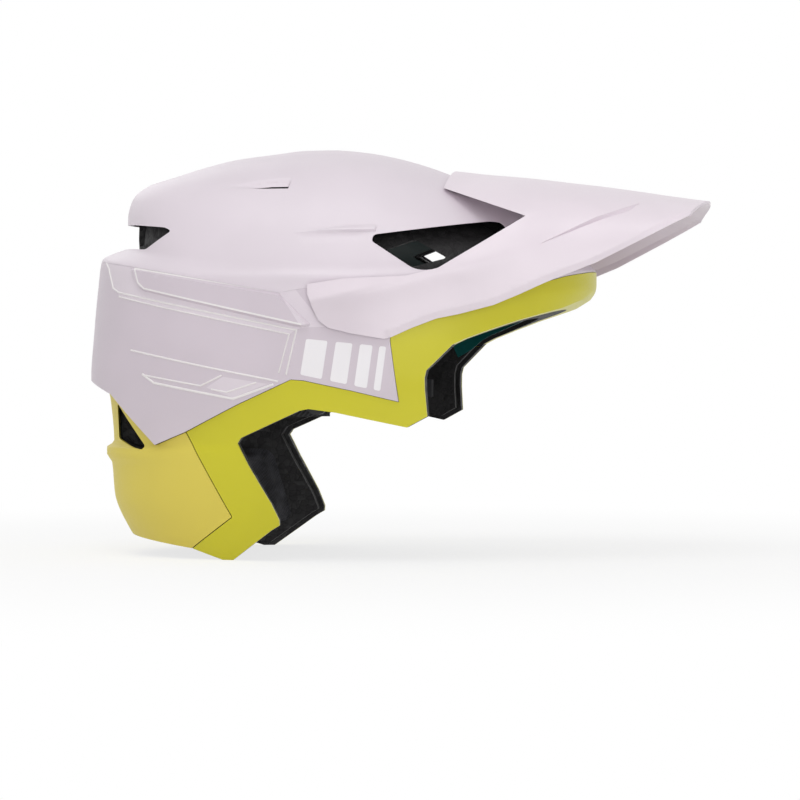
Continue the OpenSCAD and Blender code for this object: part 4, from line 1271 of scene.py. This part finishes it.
def channel_outline():
    """An air channel from front to back, over the middle line of the dome."""
    spots = [i / CHANNEL_STEPS * CHANNEL_END for i in range(-CHANNEL_STEPS, CHANNEL_STEPS + 1)]
    roof = [(CAVITY_X + u * 1.03, CHANNEL_DEEP + cavity_top(CAVITY_X + u, 0).z) for u in spots]
    return rounded([(roof[0][0], CHANNEL_FOOT), *roof[1:-1], (roof[-1][0], CHANNEL_FOOT)], 2)


def liner():
    """The whole foam in one."""
    core = SHELL_T + FOAM_GAP
    bm = carve(closed_body(neck_rows, core), cavity_body(0))
    start, half, low, end, high = DUCT
    intakes = [block((start, side * LANE - half, low), (end, side * LANE + half, high)) for side in (-1, 1)]
    (x0, y0, z0), (x1, y1, z1) = SOCKET_NOTCH
    sockets = [block((x0, y0, z0), (x1, y1, z1)), block((x0, -y1, z0), (x1, -y0, z1))]
    bm = carve(bm, joined(
        both_ways(rounded(VENT_PORT, 2), 40, WIDE), both_ways(rounded(NECK_WINDOW, 2), 35, WIDE),
        both_ways(TOP_SLIT, 50, 90), both_ways(circle(BUSH_HOLE, PIVOT), 60, WIDE),
        prism(sector(*KEEL_SWEEP), -KEEL_ROOM, KEEL_ROOM), *intakes, *sockets))
    vents = both_ways(rounded(shrunk(SIDE_VENT, -1), 4), 40, WIDE)
    exhaust = through(shrunk(EXHAUST, -1))
    for pocket, deep in ((vents, 7), (exhaust, 4)):
        bm = carve(bm, carve(pocket, closed_body(neck_rows, core + deep)))
    half = CHANNEL / 2
    bm = carve(bm, joined(*(prism(channel_outline(), y - half, y + half) for y in LANES)))
    low, high = EXHAUST_PORT
    ports = [prism(rounded(oblong(y - half, low, y + half, high), 3), -140, -80, "front") for y in LANES]
    bm = carve(bm, joined(*ports, block(*DIAL_POCKET)))
    bm = carve(bm, through(under_rim))
    bm = carve(bm, brow_edge(BROW_EDGE_ROOM))
    step = carve(through(shrunk(under_rim, -RIM_STEP)), cavity_body(-8, -170), "INTERSECT")
    return carve(bm, step)


print("cutters in the foam: ports, intakes, sockets, vents, exhaust, channels, rim")

# %% [markdown]
# The foam's beads are the cells of a texture that shares space out between scattered points.
# Fine valleys lie between them, and a little warp keeps any two from being alike. Single beads
# as meshes would be millions of faces.

# %% Finish of the foam, and its two mouldings
BEAD_SCALE = 0.3


def foam(name, colour):
    """Expanded beads pressed together: cells with fine valleys, and a faint sheen on some."""
    shader = Shader(name, colour, 0.72)
    at = shader.place()
    warp = shader.add("ShaderNodeVectorMath", {"operation": "ADD"}, at,
                      shader.noise(at, 0.2, 1, out=1))
    edge = shader.add("ShaderNodeTexVoronoi", {"feature": "DISTANCE_TO_EDGE"}, Vector=warp,
                      Scale=BEAD_SCALE)
    cell = shader.add("ShaderNodeTexVoronoi", None, out=1, Vector=warp, Scale=BEAD_SCALE)
    tone = shader.add("ShaderNodeSeparateColor", None, cell)
    valley = shader.ramp(edge, 0, 0.13)
    light = [min(255, c * 1.5 + 8) for c in colour]
    grain = shader.noise(at, 1.4, 3)
    shader.feed("Base Color", shader.mix(valley * shader.ramp(tone * 0.6 + grain * 0.5, 0.35, 0.85),
                                         colour, light))
    shader.feed("Roughness", shader.ramp(tone, 0, 1, 0.6, 0.85))
    shader.bump(valley * 0.8 + grain * 0.25, 0.25, 0.6)
    return shader


foam_black = foam("foam_black", (17, 16, 17))


def foam_liners():
    mould = liner()
    other = mould.copy()
    upper = carve(mould, block((-200, -WIDE, -330), (200, WIDE, LINER_SPLIT)))
    lower = carve(other, block((-200, -WIDE, LINER_SPLIT - FOAM_GAP), (200, WIDE, 200)))
    piece_from(upper, "foam_crown", "helmet", foam_black.material, ["crown_liner"])
    piece_from(lower, "foam_neck", "helmet", foam_black.material, ["neck_liner"])


foam_liners()

# %% [markdown]
# The slip liner is a thin teal tray that lets the shell turn a little on the head. It follows the cavity's
# wall, so it is the same two forms at two depths, with slots over the channels. Up between the foam's ribs
# little light falls, so its colour is painted darker towards the top: painted shade.

# %% Slip liner
SLIP_T = 0.8
SLIP_FOOT = [(-130, 9), (36, 9), (57, -33), (66, -28), (72, -23), (78, -20), (91, -15), (105, -10),
             (128, -3), (138, 2), (160, 9), (160, 90), (-130, 90)]
SLIP_SLOT = (34, 16)
SLIP_SLOTS = [(x, y) for y in LANES for x in (-97, -48, 2, 52)]
INTAKE_EYE = (23, 28.5, 41.5)
TRACK_GAP = oblong(-11, -21, 11, 18)
SLIP_SHADE_HEIGHTS = (-12, 2)
slip = Shader("slip_teal", (14, 88, 86), 0.42)
slip_at = slip.place()
# Painted shade: the teal darkens from 12 mm under the middle of the head to 2 mm over it, and stays dark
# above that.
slip_painted_shade = slip.ramp(slip.axes()[2], *SLIP_SHADE_HEIGHTS)
slip.feed("Base Color", slip.mix(slip_painted_shade, (14, 88, 86), (9, 38, 37)))
slip.feed("Roughness", slip.ramp(slip.noise(slip_at, 0.05, 2), 0.3, 0.7, 0.32, 0.46))
slip.bump(slip.noise(slip_at, 1.5, 2), 0.03, 0.4)


def slip_liner():
    """A thin tray with rounded slots over the channels, cut free round the cradle's track."""
    bm = carve(cavity_body(FOAM_GAP), cavity_body(FOAM_GAP + SLIP_T))
    bm = carve(bm, through(SLIP_FOOT), "INTERSECT")
    bm = carve(bm, both_ways(rounded(shrunk(VENT_PORT, -1.5), 3), 40, WIDE))
    wide, low, high = INTAKE_EYE
    for lane in (-LANE, LANE):
        eye = rounded(oblong(lane - wide / 2, low, lane + wide / 2, high), 3)
        bm = carve(bm, prism(eye, 60, 180, "front"))
    long, wide = SLIP_SLOT
    slots = [rounded(oblong(x, y - wide / 2, x + long, y + wide / 2), 5) for x, y in SLIP_SLOTS]
    bm = carve(bm, prism(rounded(TRACK_GAP, 3), -180, -80, "front"))
    bm = carve(bm, joined(*(prism(slot, 12, 180, "top") for slot in slots)))
    return piece_from(bm, "slip_tray", "helmet", slip.material, ["slip_liner"])


slip_liner()

# %% [markdown]
# The pads are covered in brushed knit. Two crossed sine waves make its rows of loops, and a soft
# noise the wear. A woven picture would need an unwrapped map on every pad.

# %% Fabric of the pads
def fabric(name, colour, weave):
    """Brushed knit: rows of tiny loops, and a soft mottle."""
    shader = Shader(name, colour, 0.9)
    x, y, z = shader.axes()
    rows = ((x + y) * weave).math("SINE") * ((z + x * 0.3) * weave).math("SINE")
    soft = shader.noise(shader.place(), 0.12, 3)
    light = [c * 1.5 + 8 for c in colour]
    shader.feed("Base Color", shader.mix(shader.ramp(soft + rows * 0.12, 0.35, 0.75), colour, light))
    shader.bump(rows * 0.5 + shader.noise(shader.place(), 0.8, 3), 0.2, 0.5)
    return shader


pad_fabric = fabric("pad_fabric", (40, 40, 43), 3.2)
print("fabric:", pad_fabric.material.name)

# %% [markdown]
# The pads are sewn bags, so they are blown up as cloth. Each starts as a thin closed patch on
# the wall, held at its back, its rim and its sewn channels. Sculpted pads would look too even.

# %% Flat pads
RIM_THICK = 0.9
PAD_GRID = 2.2
PAD_CORNER = 7


def corner_inset(v, radius):
    """How much of the width rounded corners take away at v, from -1 to 1."""
    past = max(0, abs(v) - (1 - radius)) / radius
    return 1 - math.sqrt(max(0, 1 - past * past))


def pad_patch(at, size, fat, seams):
    """A closed thin pad, and which of its points are sewn down. at gives the place on the wall
    for u, v and a depth, seams are the places along u of the sewn channels."""
    length, width = size
    nu, nv = round(length / PAD_GRID), round(width / PAD_GRID)
    corner_u, corner_v = PAD_CORNER / length * 2, min(0.9, PAD_CORNER / width * 2)
    bm = bmesh.new()
    front, back, held = [], [], set()
    for j in range(nv + 1):
        v = 2 * j / nv - 1
        squeeze = 1 - corner_inset(v, corner_v) * corner_u
        for layer, rows in ((1, front), (0, back)):
            row = []
            for i in range(nu + 1):
                u = 2 * i / nu - 1
                rim = i in (0, nu) or j in (0, nv)
                if rim and layer == 0:
                    row.append(front[j][i])
                    continue
                seam = min([abs((u + 1) / 2 - s) * length for s in seams] + [99])
                flat_edge = min((1 - abs(u)) * length / 2, (1 - abs(v)) * width / 2)
                rise = limited((flat_edge - 1.5) / 4) * min(1, 0.25 + seam / 5)
                depth = (RIM_THICK if rim else RIM_THICK * 1.5 + fat * 0.5 * rise) if layer else 0
                spot = bm.verts.new(at((u * squeeze + 1) / 2, (v + 1) / 2, depth))
                row.append(spot)
                if not layer or rim or flat_edge < 1.6 or seam < length / nu * 0.6:
                    held.add(spot)
            rows.append(row)
    for rows, turn in ((front, 1), (back, -1)):
        for j in range(nv):
            for i in range(nu):
                face = [rows[j][i], rows[j][i + 1], rows[j + 1][i + 1], rows[j + 1][i]][::turn]
                bm.faces.new(face)
    bmesh.ops.recalc_face_normals(bm, faces=bm.faces)
    bm.verts.index_update()
    return bm, sorted(v.index for v in held)


print("grid of a pad:", PAD_GRID, "mm")

# %% [markdown]
# Pressure rounds what isn't sewn down. A rest length a little over the patch's own gives the
# fabric slack, which makes the small puckers along the seams. How far a point may move is
# capped, so no pad grows into its neighbour. One pad of each pair is blown up and mirrored.

# %% Blowing up the pads
PAD_FRAMES = 14
PAD_SMOOTH = math.radians(70)


def blown_up(bm, held, cap):
    """Inflates the patch as cloth and gives the result back as a mesh."""
    bmesh.ops.scale(bm, verts=bm.verts, vec=(MM, MM, MM))
    start = [v.co.copy() for v in bm.verts]
    mesh = bpy.data.meshes.new("cushion")
    bm.to_mesh(mesh)
    bm.free()
    piece = bpy.data.objects.new("cushion", mesh)
    scene.collection.objects.link(piece)
    piece.vertex_groups.new(name="sewn").add(held, 1, "REPLACE")
    cloth = piece.modifiers.new("blow", "CLOTH").settings
    cloth.vertex_group_mass = "sewn"
    cloth.mass = 0.02
    cloth.bending_stiffness = 0.02
    cloth.shrink_min = -0.12
    cloth.use_pressure = True
    cloth.uniform_pressure_force = 3
    cloth.effector_weights.gravity = 0
    for frame_number in range(1, PAD_FRAMES + 1):
        scene.frame_set(frame_number)
    out = bmesh.new()
    out.from_object(piece, bpy.context.evaluated_depsgraph_get())
    bpy.data.meshes.remove(mesh)
    for v, co in zip(out.verts, start):
        move = v.co - co
        if move.length > cap * MM:
            v.co = co + move * (cap * MM / move.length)
    bmesh.ops.scale(out, verts=out.verts, vec=(1 / MM,) * 3)
    scene.frame_set(1)
    return out


def pad(name, body, at, size, fat, seams, replaced, mirrored=None):
    """Makes a pad, and its twin on the other side where a node for one is named."""
    bm, held = pad_patch(at, size, fat, seams)
    bm = blown_up(bm, held, fat * 0.5)
    bmesh.ops.smooth_vert(bm, verts=[v for v in bm.verts if v.index not in set(held)], factor=0.3,
                          use_axis_x=True, use_axis_y=True, use_axis_z=True)
    twin = bm.copy() if mirrored else None
    pieces = [(bm, name, replaced)]
    if mirrored:
        bmesh.ops.scale(twin, verts=twin.verts, vec=(1, -1, 1))
        bmesh.ops.reverse_faces(twin, faces=twin.faces)
        pieces.append((twin, mirrored, mirrored))
    for shape, title, node in pieces:
        piece = piece_from(shape, "cushion_" + title, body, pad_fabric.material, [node],
                           PAD_SMOOTH)
        smooth = piece.modifiers.new("smooth", "SUBSURF")
        smooth.levels = smooth.render_levels = 1


print("frames of inflation:", PAD_FRAMES)

# %% [markdown]
# Each pad's place is a function from its own two directions to the cavity's wall, so a pad bends
# with the wall that it lies on. The nape's pad lies on the cradle and moves with it.

# %% Pads in their places
PAD_BACK = 2.5
EAR_PAD_BACK = 1.5
PAD_HIGH = 24
BROW_TURN = 44
BROW_LOW, BROW_DROOP = 3.5, 23.5
CRADLE_X, CRADLE_Z = -14, -38
NAPE_IN, NAPE_TURN, NAPE_HALF = 71.9, 19, 12.7


def brow_at(u, v, depth):
    """From left to right over the forehead, drooping towards the temples."""
    turn = BROW_TURN - 2 * BROW_TURN * u
    low = BROW_LOW - BROW_DROOP * (abs(turn) / 46) ** 1.6
    return cavity_point(math.radians(turn), low + PAD_HIGH * v, PAD_BACK + depth)


def crown_at(u, v, depth):
    """Along the middle of the dome, from front to back."""
    return cavity_top(44 - 102 * u, 21 * (2 * v - 1), PAD_BACK) - Vector((0, 0, depth))


def side_at(u, v, depth):
    """Behind the right temple."""
    return cavity_point(-math.radians(92 + 40 * u), 8 + PAD_HIGH * v, PAD_BACK + depth)


def ear_at(u, v, depth):
    """Down the right ear cover, leaning with its edge."""
    spot = cavity_side(-53 + 14 * u - 36 * (1 - v), -86 - 44 * u, EAR_PAD_BACK + depth)
    return Vector((spot.x, -spot.y, spot.z))


def nape_at(u, v, depth):
    """On the inside of the cradle, an arc round its upright axis."""
    turn = math.radians(180 - (2 * u - 1) * NAPE_TURN)
    reach = NAPE_IN - depth
    up = CRADLE_Z + NAPE_HALF * (2 * v - 1)
    return Vector((CRADLE_X + reach * math.cos(turn), reach * math.sin(turn), up))


pad("brow_pad", "helmet", brow_at, (150, 24), 6, (0.25, 0.5, 0.75), "brow_pad")
pad("crown_pad", "helmet", crown_at, (104, 42), 6, (0.33, 0.67), "crown_pad")
pad("side_pad_right", "helmet", side_at, (60, 24), 6, (0.5,), "side_pad_right", "side_pad_left")
pad("ear_pad_right", "helmet", ear_at, (46, 36), 9, (0.5,), "ear_pad_right", "ear_pad_left")
pad("nape_pad", "cradle", nape_at, (48, 25), 6, (0.5,), "nape_pad")

# %% [markdown]
# The straps are woven tape, tucked up along the wall on both sides. Each is a flat sheet on the
# wall with a thin rounded edge, and a wave that turns back at the middle gives the herringbone.
# A strap could be a curve with a flat profile, but that would twist where the wall bends.

# %% Straps
STRAP_W, STRAP_T = 14, 1.5
STRAP_IN = 9.4
STRAP_PATHS = [([(2, -57.6), (-25, -57.8), (-56, -58.6), (-66, -64), (-80, -72)], STRAP_IN),
               ([(20, -51), (2, -53), (-37, -58.6), (-51, -58.6)], STRAP_IN + STRAP_T + 0.1)]


def ribbon(points, deep, width, side):
    """A strip along a path in the side view, deep inside the cavity's wall."""
    places = [0]
    for a, b in zip(points, points[1:]):
        places.append(places[-1] + math.dist(a, b))
    xs, zs = zip(*points)

    def place(u, v):
        at = places[-1] * u
        spot = cavity_side(along(places, xs, at), along(places, zs, at) + width * (v - 0.5), deep)
        return Vector((spot.x, side * spot.y, spot.z))
    bm = sheet(round(places[-1] / 2), round(width / 1.4), place)
    outwards(bm)
    return bm


TWILL, TWILL_SLANT = 2.4, 0.9
STRAP_MIDDLE = 52
webbing = Shader("webbing", (34, 34, 37), 0.8)
along_x, _, along_z = webbing.axes()
twill = (along_x * TWILL + abs(along_z * TWILL_SLANT + STRAP_MIDDLE) * TWILL).math("SINE")
webbing.feed("Base Color", webbing.mix(webbing.ramp(twill, -0.6, 0.9), (24, 24, 26), (52, 52, 56)))
webbing.bump(twill * 0.5 + webbing.noise(webbing.place(), 1.2, 2) * 0.4, 0.2, 0.7)


def strap(side, node):
    """Both lengths of one side's strap as one piece."""
    parts = []
    for points, deep in STRAP_PATHS:
        bm = ribbon(points, deep, STRAP_W, side)
        give_wall(bm, STRAP_T, 0.5)
        parts.append(bm)
    piece_from(joined(*parts), "webbing_" + node, "helmet", webbing.material, [node])


strap(-1, "strap_right")
strap(1, "strap_left")

# %% [markdown]
# What the frame already shapes well keeps its shape and gets a finish: moulded nylon with a
# spark-eroded grain, soft rubber, acetal and spring steel. Modelling these again would add
# nothing, since they are plain machined or moulded forms.

# %% Finishes of the frame's own pieces
def moulded(name, colour, roughness, depth=0.06, metallic=0):
    """A plain moulded or machined finish with a fine grain."""
    shader = Shader(name, colour, roughness, Metallic=metallic)
    grain = shader.noise(shader.place(), 1.1, 3)
    shader.feed("Roughness", shader.ramp(grain, 0.3, 0.7, roughness - 0.07, roughness + 0.07))
    shader.bump(grain, depth, 0.6)
    return shader.material


MOULDED = [
    ("nylon_black", (38, 38, 40), 0.5), ("dial_rubber", (44, 44, 46), 0.7, 0.12),
    ("elastomer_black", (34, 34, 35), 0.6), ("acetal_grey", (158, 158, 160), 0.35, 0.03),
    ("spring_steel", (190, 190, 194), 0.28, 0.02, 1)]
finishes = {row[0]: moulded(*row) for row in MOULDED}
finishes["hook_fabric"] = fabric("hook_fabric", (28, 28, 30), 4.5).material
slot_of = {part["node"]: part["material_slot"] for part in frame["record"]["subparts"]}
for node, piece in frame["nodes"].items():
    finish = finishes.get(slot_of[node])
    if finish:
        piece.data.materials.clear()
        piece.data.materials.append(finish)
print("finishes on the frame:", sorted({slot_of[n] for n in frame["nodes"]}))
